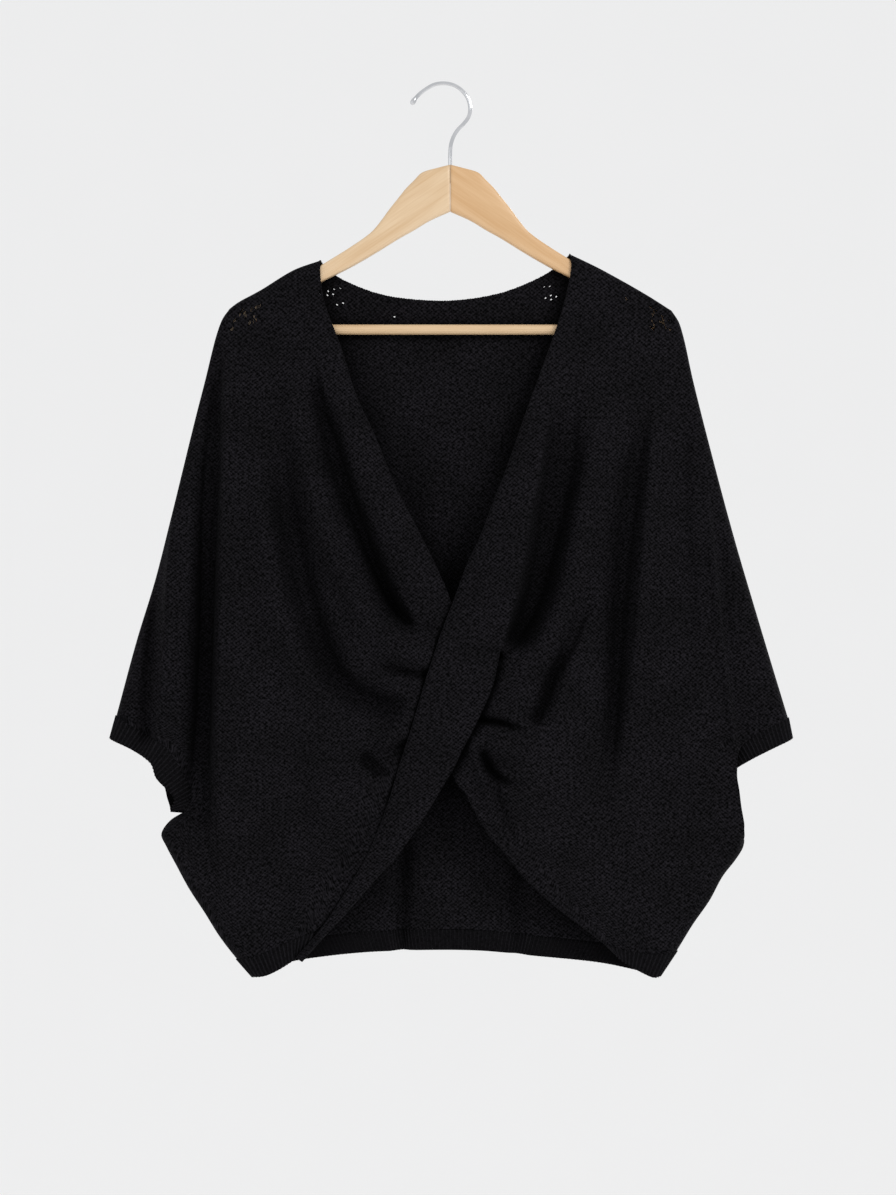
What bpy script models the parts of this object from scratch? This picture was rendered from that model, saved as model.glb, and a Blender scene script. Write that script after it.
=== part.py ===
# A short knitted poncho with a twisted front, hung on a wooden hanger with a wire hook.
# X runs to the viewer's right, Y away from the viewer and Z up. The origin is the inner top of the hook.
# Sides are the wearer's own, so the right front is at the viewer's left.
# The tables are in millimetres. A place is (across, height), and a lift is the distance forward of the
# hanger's middle plane, or behind it for the back panel.

from collections import namedtuple
import math

import bmesh
import bpy
import numpy as np

MM = 0.001

# Driving sizes
WALL = 2.0
SEAM_GAP = 0.3
HALF_SEAM = SEAM_GAP / 2
ROUNDING = 10.0
RIM_SLACK = 0.05
RIB_PITCH = 4.0
RIB_HEIGHT = 0.7
HIDDEN_SEAM_GAP = 1.2
LEAST_DEPTH = 3.4
LEAST_INNER_DEPTH = 0.8
STEEPEST = 1.6
CENTRE = 7.0
HANGER_THICKNESS = 12.0
BAR_RADIUS = 5.0
BAR_HEIGHT = -239.5
WIRE_RADIUS = 1.9

# Steps in from a seam, where the cloth rounds over from front to back, and the least share between columns
EDGE_STEPS = (1.4, 4.0, 8.0, 14.0)
MOST_EDGE_SHARE = 0.02
LEAST_SHARE = 0.002
PATH_POINTS = 60
RIM_POINTS = 80
WELD_DECIMALS = 4

# How the direction away from a rim is found: a look this far in, leaning down, over steps of this size
LOOK_IN = 0.6
LOOK_LEAN = -0.3
LOOK_STEP = 0.2

Fold = namedtuple("Fold", "name depth left right start end path")
Height = namedtuple("Height", "height edge centre")

# Outlines of the cloth, seen from the front
RIGHT_SHOULDER = [(-209, -219), (-201, -213), (-179, -201), (-146, -181), (-121, -172)]
LEFT_SHOULDER = [(125, -166), (140, -173), (156, -181), (197, -204), (224, -221)]
BACK_NECK = [
    (-121, -172), (-106, -186), (-91, -194), (-64, -204), (-36, -209), (5, -211),
    (46, -206), (73, -198), (101, -185), (115, -175), (125, -166),
]
RIGHT_SLEEVE = [
    (-209, -219), (-216, -229), (-222, -245), (-233, -289), (-243, -328), (-267, -426), (-282, -485),
    (-300, -544), (-320, -618),
]
LEFT_SLEEVE = [
    (224, -221), (231, -232), (236, -248), (245, -289), (265, -368), (286, -446), (309, -524), (321, -564),
    (338, -620),
]
RIGHT_SIDE = [
    (-254, -712), (-268, -721), (-276, -734), (-271, -746), (-262, -763),
    (-249, -787), (-234, -810), (-219, -834), (-202, -856), (-187, -873),
]
LEFT_SIDE = [
    (295, -738), (294, -746), (287, -758), (274, -775), (261, -799), (245, -822), (229, -848), (213, -872),
]
NECK_EDGE = [
    (-121, -172), (-120, -194), (-117, -211), (-110, -232), (-101, -255), (-85, -305), (-66, -346),
    (-47, -393), (-28, -430), (-10, -466), (3, -494), (9, -510),
]

# The band that crosses the front: its finished edge, its fold, and the hidden seam behind it
BAND_EDGE_UPPER = [
    (125, -166), (126, -177), (124, -192), (117, -221), (108, -248), (95, -284), (79, -328), (62, -377),
    (50, -407), (37, -442), (25, -467), (10, -507), (-3, -541), (-7, -553),
]
BAND_EDGE_LOWER = [
    (-7, -553), (-16, -581), (-30, -628), (-44, -672), (-54, -705), (-72, -750), (-101, -799),
    (-121, -828), (-143, -853),
]
BAND_TOP_WIDTH = 8.8
BAND_FOLD_UPPER = [
    (132, -200), (127, -236), (116, -265), (106, -289), (102, -329), (97, -354), (92, -385),
    (86, -414), (81, -445), (75, -473), (69, -505), (62, -532), (56, -553),
]
BAND_FOLD_LOWER = [
    (56, -553), (54, -563), (48, -589), (34, -621), (19, -650), (11, -667), (2, -682),
    (-18, -715), (-42, -750), (-67, -778), (-91, -806), (-115, -832), (-137, -857),
]
SLIT = [(56, -553), (57.5, -560.5), (52.5, -565), (46.6, -570)]
SLIT_DROP = 5.5
SLIT_FADE = 8.0
SLIT_REACH = 14.0
SLIT_SIDE_FADE = 10.0
TUCK_SEAM = [(46, -566), (40, -585), (28, -605), (20, -621), (10, -640), (3, -655)]
TURN_SEAM = [
    (-4, -668), (-14, -684), (-32, -712), (-56, -747), (-78, -776), (-101, -806), (-118, -823), (-140, -846),
]
LOWER_EDGE_START = [(5, -662), (10, -672), (14, -682), (22, -691), (29, -705), (46, -734)]
LOWER_EDGE = [(46, -734), (58, -747), (70, -763), (97, -791), (120, -810), (147, -831), (160, -841)]

# Cuffs: where the rib starts and its free edge, in front and behind
RIGHT_CUFF_TOP = [(-320, -618), (-296, -632), (-271, -647), (-257, -669), (-248, -691), (-254, -712)]
RIGHT_CUFF_TOP_BACK = [(-320, -618), (-297, -634), (-275, -652), (-262, -676), (-257, -697), (-254, -712)]
RIGHT_CUFF_EDGE = [
    (-326, -640), (-301, -652), (-285, -664), (-280, -678), (-270, -689), (-262, -699), (-267, -711),
]
RIGHT_CUFF_EDGE_BACK = [(-326, -640), (-300, -655), (-283, -670), (-274, -688), (-271, -700), (-267, -711)]
LEFT_CUFF_TOP = [(338, -620), (321, -628), (305, -637), (292, -646)]
LEFT_CUFF_HIDDEN = [(286, -653), (280, -657), (268, -668), (262, -690), (265, -708), (274, -720)]
LEFT_CUFF_TOP_BACK = [(338, -620), (305, -637), (281, -655), (266, -675), (262, -698), (274, -720)]
LEFT_CUFF_EDGE = [(342, -640), (317, -652), (296, -663), (283, -672), (278, -690), (280, -712), (286, -728)]
LEFT_CUFF_EDGE_BACK = [
    (342, -640), (317, -654), (295, -666), (281, -677), (277, -694), (279, -713), (286, -728),
]
LEFT_FRONT_DROP = [(287, -654), (286, -667), (286, -677), (288, -689), (290, -705), (293, -722), (295, -738)]

# Hem ribs: where the rib starts and its free edge
RIGHT_HEM_TOP = [(-202, -856), (-185, -853), (-168, -846), (-149, -837), (-127, -829)]
RIGHT_HEM_EDGE = [(-187, -873), (-173, -871), (-160, -865), (-146, -856), (-134, -848)]
LEFT_HEM_TOP = [(160, -841), (185, -848), (208, -850), (229, -848)]
LEFT_HEM_EDGE = [(168, -849), (174, -856), (192, -867), (206, -873), (213, -872)]
BACK_HEM_TOP = [
    (-202, -856), (-165, -843), (-119, -835), (-64, -830), (32, -829), (87, -834), (156, -841), (229, -848),
]
BACK_HEM_EDGE = [
    (-187, -873), (-173, -868), (-150, -860), (-119, -855), (-64, -850), (32, -849), (87, -854),
    (156, -861), (195, -869), (213, -872),
]

# How far the front stands forward at each height, near the sides and near the middle
FRONT_FORM = [
    Height(-168, 8.6, 8.6), Height(-250, 8.6, 10), Height(-330, 10, 16), Height(-430, 12, 24),
    Height(-530, 14, 32), Height(-600, 15, 36), Height(-680, 15, 35), Height(-760, 14, 30),
    Height(-875, 13, 24),
]
BACK_FORM = [
    Height(-168, 8.6, 8.6), Height(-250, 8.6, 9.5), Height(-430, 11, 12), Height(-600, 13, 13),
    Height(-760, 12, 12), Height(-875, 9, 12),
]
EDGE_REACH = 235.0
CENTRE_REACH = 40.0

# Troughs have a positive depth and ridges a negative one. left and right are the widths on the two sides,
# start and end the shares of the length over which a fold fades in and out.
FRONT_FOLDS = [
    Fold("right_neck_trough", 17, 13, 7, 0.35, 0.12, [
        (-125, -286), (-113, -326), (-101, -373), (-91, -405), (-75, -443), (-63, -474), (-50, -506),
        (-38, -524), (-25, -534)]),
    Fold("right_neck_crease", 3.5, 5, 4, 0.1, 0.3, [(-28, -533), (-18, -532), (-8, -530)]),
    Fold("right_long_trough", 13, 14, 12, 0.35, 0.1, [
        (-168, -314), (-157, -368), (-151, -412), (-141, -459), (-132, -496), (-117, -543), (-101, -581),
        (-81, -600), (-54, -609), (-28, -615)]),
    Fold("right_short_crease", 5, 4, 5, 0.5, 0, [(-76, -562), (-54, -567), (-36, -573), (-14, -578)]),
    Fold("right_low_dent", 7, 10, 9, 0.4, 0, [(-82, -655), (-64, -661), (-52, -657), (-40, -648)]),
    Fold("right_low_ray", -4, 5, 6, 0.3, 0, [(-70, -650), (-50, -640), (-30, -634)]),
    Fold("right_swag", -5, 16, 16, 0.3, 0.1, [(-96, -500), (-78, -540), (-52, -562), (-20, -556)]),
    Fold("right_groove", 25, 15, 9, 0.3, 0.12, [
        (-219, -290), (-224, -345), (-227, -399), (-230, -493), (-233, -587), (-235, -678), (-236, -745)]),
    Fold("right_body_fold", -11, 10, 46, 0.3, 0.25, [
        (-211, -330), (-211, -400), (-212, -493), (-214, -587), (-216, -680), (-212, -760), (-200, -830)]),
    Fold("right_sleeve_fold", -9, 26, 16, 0.35, 0.2, [
        (-246, -420), (-254, -500), (-260, -560), (-266, -610), (-270, -640), (-272, -680)]),
    Fold("left_band_trough", 12, 20, 15, 0.3, 0.08, [
        (131, -300), (127, -354), (119, -394), (112, -431), (104, -466), (96, -500), (86, -520), (74, -537),
        (62, -551)]),
    Fold("left_band_ridge", -9, 14, 13, 0.45, 0, BAND_FOLD_UPPER[2:]),
    Fold("left_middle_ridge", -6, 16, 20, 0.4, 0.3, [
        (158, -330), (146, -400), (136, -460), (122, -520), (100, -570), (70, -596)]),
    Fold("left_knot_bulge", -5, 16, 18, 0.2, 0.2, [(58, -600), (62, -640), (58, -668)]),
    Fold("left_slant_crease", 10, 9, 7, 0.45, 0.05, [
        (158, -469), (139, -515), (123, -554), (108, -578), (99, -605), (87, -629)]),
    Fold("left_knot_crease", 6, 4, 4, 0, 0.4, [(24, -620), (40, -621), (55, -622), (72, -629)]),
    Fold("left_knot_pocket", 11, 8, 9, 0.15, 0.5, [(33, -648), (42, -663), (50, -674), (66, -683)]),
    Fold("left_edge_ridge", -4, 9, 7, 0, 0.5, [
        (27, -640), (32, -659), (38, -678), (48, -710), (53, -732), (67, -752)]),
    Fold("left_long_trough", 12, 15, 8, 0.35, 0.25, [
        (198, -307), (191, -348), (183, -403), (178, -446), (172, -505), (170, -564), (168, -622), (164, -662),
        (158, -705)]),
    Fold("left_outer_ridge", -5, 22, 22, 0.4, 0.3, [(210, -350), (206, -450), (202, -560), (204, -680)]),
    Fold("left_drop_ridge", -12, 60, 4.5, 0.35, 0, [
        (252, -363), (257, -390), (261, -446), (264, -475), (269, -534), (275, -578), (281, -622),
        (287, -667), (289, -700), (292, -722)]),
    Fold("left_low_wave", -4, 30, 30, 0.3, 0.3, [(210, -690), (196, -760), (190, -820)]),
    Fold("right_low_wave", 4, 26, 26, 0.4, 0.3, [(-140, -640), (-150, -720), (-160, -800)]),
]
BACK_FOLDS = [
    Fold("back_right_trough", 5, 8, 8, 0.4, 0, [(-56, -640), (-50, -740), (-48, -800), (-48, -860)]),
    Fold("back_left_trough", 4.5, 9, 9, 0.4, 0, [(68, -620), (74, -720), (76, -800), (76, -860)]),
    Fold("back_right_wave", -5, 24, 24, 0.3, 0.2, [(-190, -330), (-206, -500), (-214, -700)]),
    Fold("back_left_wave", -5, 24, 24, 0.3, 0.2, [(196, -330), (214, -500), (226, -700)]),
    Fold("back_right_sleeve", 4, 16, 16, 0.3, 0.2, [(-228, -360), (-246, -500), (-262, -620)]),
    Fold("back_left_sleeve", 4, 16, 16, 0.3, 0.2, [(240, -360), (262, -500), (286, -620)]),
    Fold("back_middle_wave", -4, 40, 40, 0.3, 0.2, [(8, -300), (6, -500), (12, -700)]),
]

# How far behind the band the cloth under it is pressed, and how the band stands on it, by height
TUCK = 4.0
TUCK_TOP = -492.0
TUCK_FADE = 20.0
TUCK_BEFORE_EDGE = 5.0
TUCK_PAST_FOLD = 10.0
TUCK_SIDE_FADE = 9.0
BandForm = namedtuple("BandForm", "height rise turn")
BAND_FORM = [
    BandForm(-553, 10.5, 0.4), BandForm(-575, 10.5, 3.6), BandForm(-600, 10.5, 4.2), BandForm(-650, 9.6, 4.2),
    BandForm(-680, 7.4, 4.2), BandForm(-700, 6.4, 4.2), BandForm(-820, 5.4, 3.7), BandForm(-860, 3.6, 2.8),
]
BAND_STAND = 5.2
STAND_START = -250.0
STAND_FADE = 220.0
BAND_CROWN = 1.6
CROWN_WIDTH = 30.0
BAND_SHARES = (0, 0.3, 0.62)
BAND_FLAT_LIMITS = (0.03, 0.16, 0.45)
ARC_MIDDLE = 0.29
NARROW_END = 1.5

# The cloth under the band is looked at in this many places across, to this far past the fold
UNDER_LOOKS = 6
PAST_FOLD = 2.0

# The first and last of the band's lower rows that have the turned-under layer
BAND_LOWER_ROWS = 16
TURN_ROWS = (0, 12)

# Rows of each panel, in the stretches between the ends of the sleeve, the cuff's seam and the side
RIGHT_ROWS = (16, 6, 9)
LEFT_ROWS = (19, 4, 5, 9)
BACK_ROWS = (13, 4, 7)
SLIT_ROWS = 4
RIGHT_COLUMNS = 27
LEFT_COLUMNS = 24
BACK_COLUMNS = 28
SHOULDER_COLUMNS = 7

# Columns that follow a fold: their distance across from it, and the least and most share of the row
Guide = namedtuple("Guide", "column offset least most")
RIGHT_GUIDES = [Guide(7, -11, 0.055, 0.45), Guide(9, 0, 0.07, 0.5), Guide(11, 10, 0.1, 0.55)]
LEFT_GUIDES = [Guide(17, -9, 0.5, 0.86), Guide(18, 0, 0.55, 0.9), Guide(19, 5, 0.6, 0.93)]

# The ribs flatten where a strip comes this near the middle plane, and the left cuff hangs this far behind
RIB_FLAT = 5.0
CUFF_BEHIND = 1.5
CUFF_THINNING = 4

# The wearer's right half of the hanger, as its upper and lower edges; the other half mirrors it
ARM_TOP = [
    (7, -78), (-5, -81), (-21, -86), (-28, -93), (-36, -101), (-44, -111), (-52, -121), (-60, -132),
    (-68, -142), (-75, -148), (-91, -159), (-107, -169), (-123, -178.5), (-146, -189), (-179, -208),
    (-197, -219), (-208, -230), (-213, -239),
]
ARM_BOTTOM = [
    (7, -124), (-13, -133), (-28, -142), (-44, -151), (-60, -161), (-75, -170), (-91, -179), (-107, -187),
    (-123, -195), (-140, -205), (-160, -217), (-180, -230), (-192, -240), (-200, -247), (-208, -249),
]
ARM_SECTIONS = 24
ARM_SIDES = 12
ARM_SQUARENESS = 0.45
BAR_SHOULDER = -181.0
BAR_END = -203.0
TENON_RADIUS = 3.0
TENON_TAPER = 4.0
HOLE_CLEARANCE = 0.4
HOLE_LENGTH = 26.0
HOOK_HOLE_HEIGHT = -85.0
SOCKET_INWARDS = 6.0
ROUND_SIDES = 16
HOOK = [
    (-31, -19), (-27.5, -13.5), (-23, -8.6), (-17, -4), (-9, 0.4), (0, 1.9), (10, 0.2), (18.5, -5.2),
    (24.6, -13.5), (26.6, -24), (24.8, -31.5), (20, -38), (14.4, -43.8), (10.3, -50.5), (7.8, -58),
    (7, -68), (7, -80), (7, -96),
]
HOOK_STEPS = 38
HOOK_BALL = 1.4


def ramp(value):
    """A smooth step from 0 to 1."""
    value = np.clip(value, 0.0, 1.0)
    return value * value * (3 - 2 * value)


def along(points, fractions):
    """Places at these fractions of the length of a smooth curve through the points."""
    points = np.asarray(points, float)
    knots = np.concatenate([[0], np.cumsum(np.linalg.norm(np.diff(points, axis=0), axis=1) ** 0.5)])
    slopes = np.gradient(points, knots, axis=0)
    fine = np.linspace(0, knots[-1], 24 * len(points))
    piece = np.clip(np.searchsorted(knots, fine, side="right") - 1, 0, len(points) - 2)
    span = (knots[piece + 1] - knots[piece])[:, None]
    t = (fine - knots[piece])[:, None] / span
    curve = (
        (2 * t**3 - 3 * t**2 + 1) * points[piece]
        + (t**3 - 2 * t**2 + t) * span * slopes[piece]
        + (3 * t**2 - 2 * t**3) * points[piece + 1]
        + (t**3 - t**2) * span * slopes[piece + 1]
    )
    length = np.concatenate([[0], np.cumsum(np.linalg.norm(np.diff(curve, axis=0), axis=1))])
    wanted = np.asarray(fractions, float) * length[-1]
    return np.stack([np.interp(wanted, length, curve[:, k]) for k in range(points.shape[1])], axis=1)


def path_length(points):
    return np.linalg.norm(np.diff(along(points, np.linspace(0, 1, PATH_POINTS)), axis=0), axis=1).sum()


def nearest(x, z, path):
    """Distance to a path, the side, and the share along it.

    The side is positive on the viewer's right of a path that runs down.
    """
    places = np.stack([np.ravel(x), np.ravel(z)], axis=1)[:, None, :]
    path = np.asarray(path, float)
    step = np.diff(path, axis=0)
    size = np.linalg.norm(step, axis=1)
    off = places - path[None, :-1]
    share = np.clip((off * step).sum(axis=2) / size**2, 0, 1)
    gap = np.linalg.norm(off - share[..., None] * step, axis=2)
    best = gap.argmin(axis=1)
    rows = np.arange(len(best))
    turn = step[best, 0] * off[rows, best, 1] - step[best, 1] * off[rows, best, 0]
    walked = np.concatenate([[0], np.cumsum(size)])[best] + share[rows, best] * size[best]
    shape = np.shape(x)
    return gap[rows, best].reshape(shape), np.sign(turn).reshape(shape), (walked / size.sum()).reshape(shape)


def fold_sum(x, z, folds):
    total = np.zeros(np.shape(x))
    for fold in folds:
        gap, side, share = nearest(x, z, fold.path)
        width = np.where(side > 0, fold.right, fold.left)
        fade = np.ones(np.shape(x))
        if fold.start:
            fade = fade * ramp(share / fold.start)
        if fold.end:
            fade = fade * ramp((1 - share) / fold.end)
        total -= fold.depth * fade * np.exp(-((gap / width) ** 2))
    return total


def form(x, z, table):
    """The lift before any folds."""
    heights = [-row.height for row in table]
    edge = np.interp(-z, heights, [row.edge for row in table])
    centre = np.interp(-z, heights, [row.centre for row in table])
    inwards = ramp((EDGE_REACH - np.abs(x - CENTRE)) / (EDGE_REACH - CENTRE_REACH))
    return edge + (centre - edge) * inwards


def rim_gap(x, z, rims):
    """Distance to the nearest seam between front and back."""
    return np.maximum(np.min([nearest(x, z, rim)[0] for rim in rims], axis=0) - RIM_SLACK, 0)


def rounded(x, z, rims):
    """Falls to 0 where front and back meet, as a quarter round."""
    return np.sqrt(1 - (1 - np.clip(rim_gap(x, z, rims) / ROUNDING, 0, 1)) ** 2)


def rim(path):
    return along(path, np.linspace(0, 1, RIM_POINTS))


SHARED_RIMS = [rim(path) for path in (RIGHT_SHOULDER, RIGHT_SLEEVE, RIGHT_SIDE, LEFT_SHOULDER, LEFT_SLEEVE)]
FRONT_RIMS = SHARED_RIMS + [rim(LEFT_SIDE)]
BACK_RIMS = SHARED_RIMS + [rim(LEFT_CUFF_TOP_BACK[-1:] + LEFT_SIDE)]
RIGHT_CUFF_RIMS = [[RIGHT_SLEEVE[-1], RIGHT_CUFF_EDGE[0]], [RIGHT_CUFF_TOP[-1], RIGHT_CUFF_EDGE[-1]]]
LEFT_CUFF_RIMS = [[LEFT_SLEEVE[-1], LEFT_CUFF_EDGE[0]], [LEFT_CUFF_HIDDEN[-1], LEFT_CUFF_EDGE[-1]]]


def front_depth(x, z):
    """The lift of the front before its sides are rounded off."""
    left_gap, left_side, _ = nearest(x, z, BAND_EDGE_UPPER + BAND_EDGE_LOWER[1:])
    right_gap, right_side, _ = nearest(x, z, BAND_FOLD_UPPER + BAND_FOLD_LOWER[1:])
    past_edge = ramp((left_gap * left_side + TUCK_BEFORE_EDGE) / TUCK_SIDE_FADE)
    before_fold = ramp((TUCK_PAST_FOLD - right_gap * right_side) / TUCK_SIDE_FADE)
    pressed = TUCK * past_edge * before_fold * ramp((TUCK_TOP - z) / TUCK_FADE)
    return np.maximum(form(x, z, FRONT_FORM) + fold_sum(x, z, FRONT_FOLDS) - pressed, LEAST_DEPTH)


def back_depth(x, z):
    return np.maximum(form(x, z, BACK_FORM) + fold_sum(x, z, BACK_FOLDS), LEAST_DEPTH)


def front_lift(x, z):
    return HALF_SEAM + front_depth(x, z) * rounded(x, z, FRONT_RIMS)


def stretches(parts, first_steps=()):
    """Places down one edge of a panel. Each part is a path and its number of rows."""
    places = [np.asarray(parts[0][0][0], float)[None]]
    for number, (path, rows) in enumerate(parts):
        steps = [step / path_length(path) for step in first_steps] if number == 0 else []
        start = steps[-1] if steps else 0
        fractions = steps + list(np.linspace(start, 1, rows - len(steps) + 1)[1:])
        places.append(along(path, fractions))
    return np.concatenate(places)


def spread(widths, columns, first_steps, last_steps, guides):
    """Fractions across each row: close together at a seam, and along guides, which are (column, fractions)."""
    rows = []
    for row, width in enumerate(widths):
        fixed = {0: 0.0, columns: 1.0}
        for number, step in enumerate(first_steps, 1):
            fixed[number] = min(step / width, MOST_EDGE_SHARE * number)
        for number, step in enumerate(last_steps, 1):
            fixed[columns - number] = 1 - min(step / width, MOST_EDGE_SHARE * number)
        before, after = len(first_steps), columns - len(last_steps)
        for column, fractions in guides:
            low = fixed[before] + LEAST_SHARE * (column - before)
            high = fixed[after] - LEAST_SHARE * (after - column)
            fixed[column] = min(max(fractions[row], low), high)
            before = column
        known = sorted(fixed)
        rows.append(np.interp(np.arange(columns + 1), known, [fixed[k] for k in known]))
    return np.array(rows)


def fold_guides(name, guides, left, right):
    """For each guide, its column and the fractions at which it crosses the rows."""
    path = np.array(next(fold.path for fold in FRONT_FOLDS if fold.name == name), float)
    middle = np.interp(-left[:, 1], -path[:, 1], path[:, 0])
    found = []
    for guide in guides:
        fractions = (middle + guide.offset - left[:, 0]) / (right[:, 0] - left[:, 0])
        found.append((guide.column, np.clip(fractions, guide.least, guide.most)))
    return found


def fill(top, bottom, left, right, across):
    """Places between four edges: top is one place for each column. Top and bottom fade out over the rows."""
    down = np.linspace(0, 1, len(left))[:, None, None]
    u = across[..., None]
    top_line = top[None] - (1 - u[:1]) * left[:1, None] - u[:1] * right[:1, None]
    low_line = along(bottom, across[-1])[None] - (1 - u[-1:]) * left[-1:, None] - u[-1:] * right[-1:, None]
    return (1 - u) * left[:, None] + u * right[:, None] + (1 - down) ** 2 * top_line + down**3 * low_line


def lifted(places, lift, sign=-1.0):
    """Points in space: sign -1 puts them in front of the middle plane."""
    return np.stack([places[..., 0], sign * lift, places[..., 1]], axis=-1)


def grid_faces(rows, columns):
    corner = np.arange(rows - 1)[:, None] * columns + np.arange(columns - 1)[None]
    corner = corner.ravel()
    return np.stack([corner, corner + columns, corner + columns + 1, corner + 1], axis=1)


def join_grids(grids):
    """One sheet from grids of points, which share the points that coincide."""
    points = []
    faces = []
    for grid in grids:
        faces.append(grid_faces(*grid.shape[:2]) + sum(len(p) for p in points))
        points.append(grid.reshape(-1, 3))
    points = np.concatenate(points)
    rounded_off = np.round(points, WELD_DECIMALS)
    _, first, index = np.unique(rounded_off, axis=0, return_index=True, return_inverse=True)
    return points[first], index.reshape(-1)[np.concatenate(faces)], first


def corners(face):
    """A face's points with repeats left out."""
    kept = []
    for point in face:
        if point not in kept:
            kept.append(point)
    return kept


def make_material(name, color, roughness, metallic=0.0):
    material = bpy.data.materials.new(name)
    material.use_nodes = True
    shader = material.node_tree.nodes["Principled BSDF"]
    shader.inputs["Base Color"].default_value = (*color, 1)
    shader.inputs["Roughness"].default_value = roughness
    shader.inputs["Metallic"].default_value = metallic
    return material


def make_object(name, points, faces, material):
    mesh = bpy.data.meshes.new(name)
    mesh.from_pydata([tuple(point * MM) for point in points], [], faces)
    mesh.materials.append(material)
    mesh.validate()
    mesh.shade_smooth()
    obj = bpy.data.objects.new(name, mesh)
    bpy.context.scene.collection.objects.link(obj)
    return obj


def make_wall(name, outer, inner, faces, material):
    """A closed wall between an outer sheet and an inner one with the same faces."""
    count = len(outer)
    shapes = []
    edges = {}
    for face in faces:
        kept = [int(point) for point in corners(face)]
        if len(kept) < 3:
            continue
        triangles = [kept]
        if len(kept) == 4:
            a, b, c, d = kept
            straight = np.linalg.norm(outer[a] - outer[c]) < np.linalg.norm(outer[b] - outer[d])
            raised = np.abs(outer[kept, 1]) > 2 * HALF_SEAM
            if raised.sum() == 1:
                straight = raised[0] or raised[2]
            triangles = [[a, b, c], [a, c, d]] if straight else [[a, b, d], [b, c, d]]
        for triangle in triangles:
            shapes.append(triangle)
            shapes.append([point + count for point in reversed(triangle)])
        for start, end in zip(kept, kept[1:] + kept[:1]):
            if (end, start) in edges:
                del edges[(end, start)]
            else:
                edges[(start, end)] = True
    for start, end in edges:
        shapes.append([int(end), int(start), int(start) + count, int(end) + count])
    return make_object(name, np.concatenate([outer, inner]), shapes, material)


def inset(places, rims):
    """Moves places near a rim inwards by up to the wall, where the inner side of a rounded seam lies."""
    def gap(spots):
        return rim_gap(spots[..., 0], spots[..., 1], rims)

    aim = np.stack([np.sign(CENTRE - places[..., 0]), np.full(places.shape[:-1], LOOK_LEAN)], axis=-1)
    inside = places + LOOK_IN * aim
    slope = np.stack([gap(inside + step) - gap(inside - step) for step in np.eye(2) * LOOK_STEP], axis=-1)
    slope /= np.maximum(np.linalg.norm(slope, axis=-1), 0.001)[..., None]
    return places + slope * (WALL * np.clip(1 - gap(places) / ROUNDING, 0, 1))[..., None]


def both_sides(places, depth, rims, sign=-1.0):
    """The outer and inner points of a sheet with this depth, which is rounded off at the rims."""
    points = lifted(places, depth)
    normal = np.cross(np.gradient(points, axis=0), np.gradient(points, axis=1))
    upright = np.abs(normal[..., 1]) / np.linalg.norm(normal, axis=-1)
    wall = np.minimum(WALL / np.maximum(upright, 1 / STEEPEST), depth - LEAST_INNER_DEPTH)
    round_off = rounded(places[..., 0], places[..., 1], rims)
    outer = lifted(places, HALF_SEAM + depth * round_off, sign)
    inner = lifted(inset(places, rims), HALF_SEAM + (depth - wall) * round_off, sign)
    return outer, inner


def cloth_panel(name, sheets, material):
    """A cloth wall from pairs of outer and inner grids, joined where outer points coincide."""
    outer, faces, first = join_grids([sheet[0] for sheet in sheets])
    inner = np.concatenate([sheet[1].reshape(-1, 3) for sheet in sheets])[first]
    make_wall(name, outer, inner, faces, material)


def between(points, count):
    """Evenly spaced points on straight lines through the given ones."""
    length = np.concatenate([[0], np.cumsum(np.linalg.norm(np.diff(points, axis=0), axis=1))])
    wanted = np.linspace(0, length[-1], count)
    return np.stack([np.interp(wanted, length, points[:, k]) for k in range(3)], axis=1)


def strip_line(points, count, rims):
    """The outer and inner points of one side of a rib strip, which is rounded off at the rims."""
    outer = between(points, count)
    gap = rim_gap(outer[:, 0], outer[:, 2], rims)
    tangent = np.gradient(outer, axis=0) * [1, 0, 1]
    tangent /= np.linalg.norm(tangent, axis=1)[:, None]
    tangent[count // 2:] *= -1
    inner = outer + tangent * (WALL * np.clip(1 - gap / ROUNDING, 0, 1))[:, None]
    full = rounded(outer[:, 0], outer[:, 2], rims)
    lift = np.abs(outer[:, 1])
    inner[:, 1] = np.sign(outer[:, 1]) * np.maximum(lift - WALL * full, np.minimum(HALF_SEAM, lift))
    return outer, inner


def rib_band(name, parts, rims, material):
    """A ribbed strip from a panel's edge to its own free edge, raised on its outer side only.

    Each part is the line of the seam and that of the free edge. A band of two parts is a ring.
    """
    lines = [[], [], [], []]
    for number, (top, low) in enumerate(parts):
        length = np.linalg.norm(np.diff(low, axis=0), axis=1).sum()
        count = 2 * round(length / RIB_PITCH) + 1
        for line, points in zip(lines, strip_line(top, count, rims) + strip_line(low, count, rims)):
            line.append(points[number > 0:])
    top, top_inside, low, low_inside = [np.concatenate(line) for line in lines]
    down = low - top
    step = down * (SEAM_GAP / np.linalg.norm(down, axis=1))[:, None]
    top = top + step
    top_inside = top_inside + step
    crest = np.zeros_like(top)
    raised = np.arange(len(top)) % 2
    crest[:, 1] = np.sign(low[:, 1]) * RIB_HEIGHT * raised * ramp(np.abs(low[:, 1]) / RIB_FLAT)
    outer = np.stack([top + crest, low + crest])
    inner = np.stack([top_inside, low_inside])
    if len(parts) > 1:
        inner[:, 0] = 0.5 * (inner[:, 0] + inner[:, -1])
        outer[:, -1] = outer[:, 0]
        inner[:, -1] = inner[:, 0]
    points, faces, chosen = join_grids([outer])
    return make_wall(name, points, inner.reshape(-1, 3)[chosen], faces, material)


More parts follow.
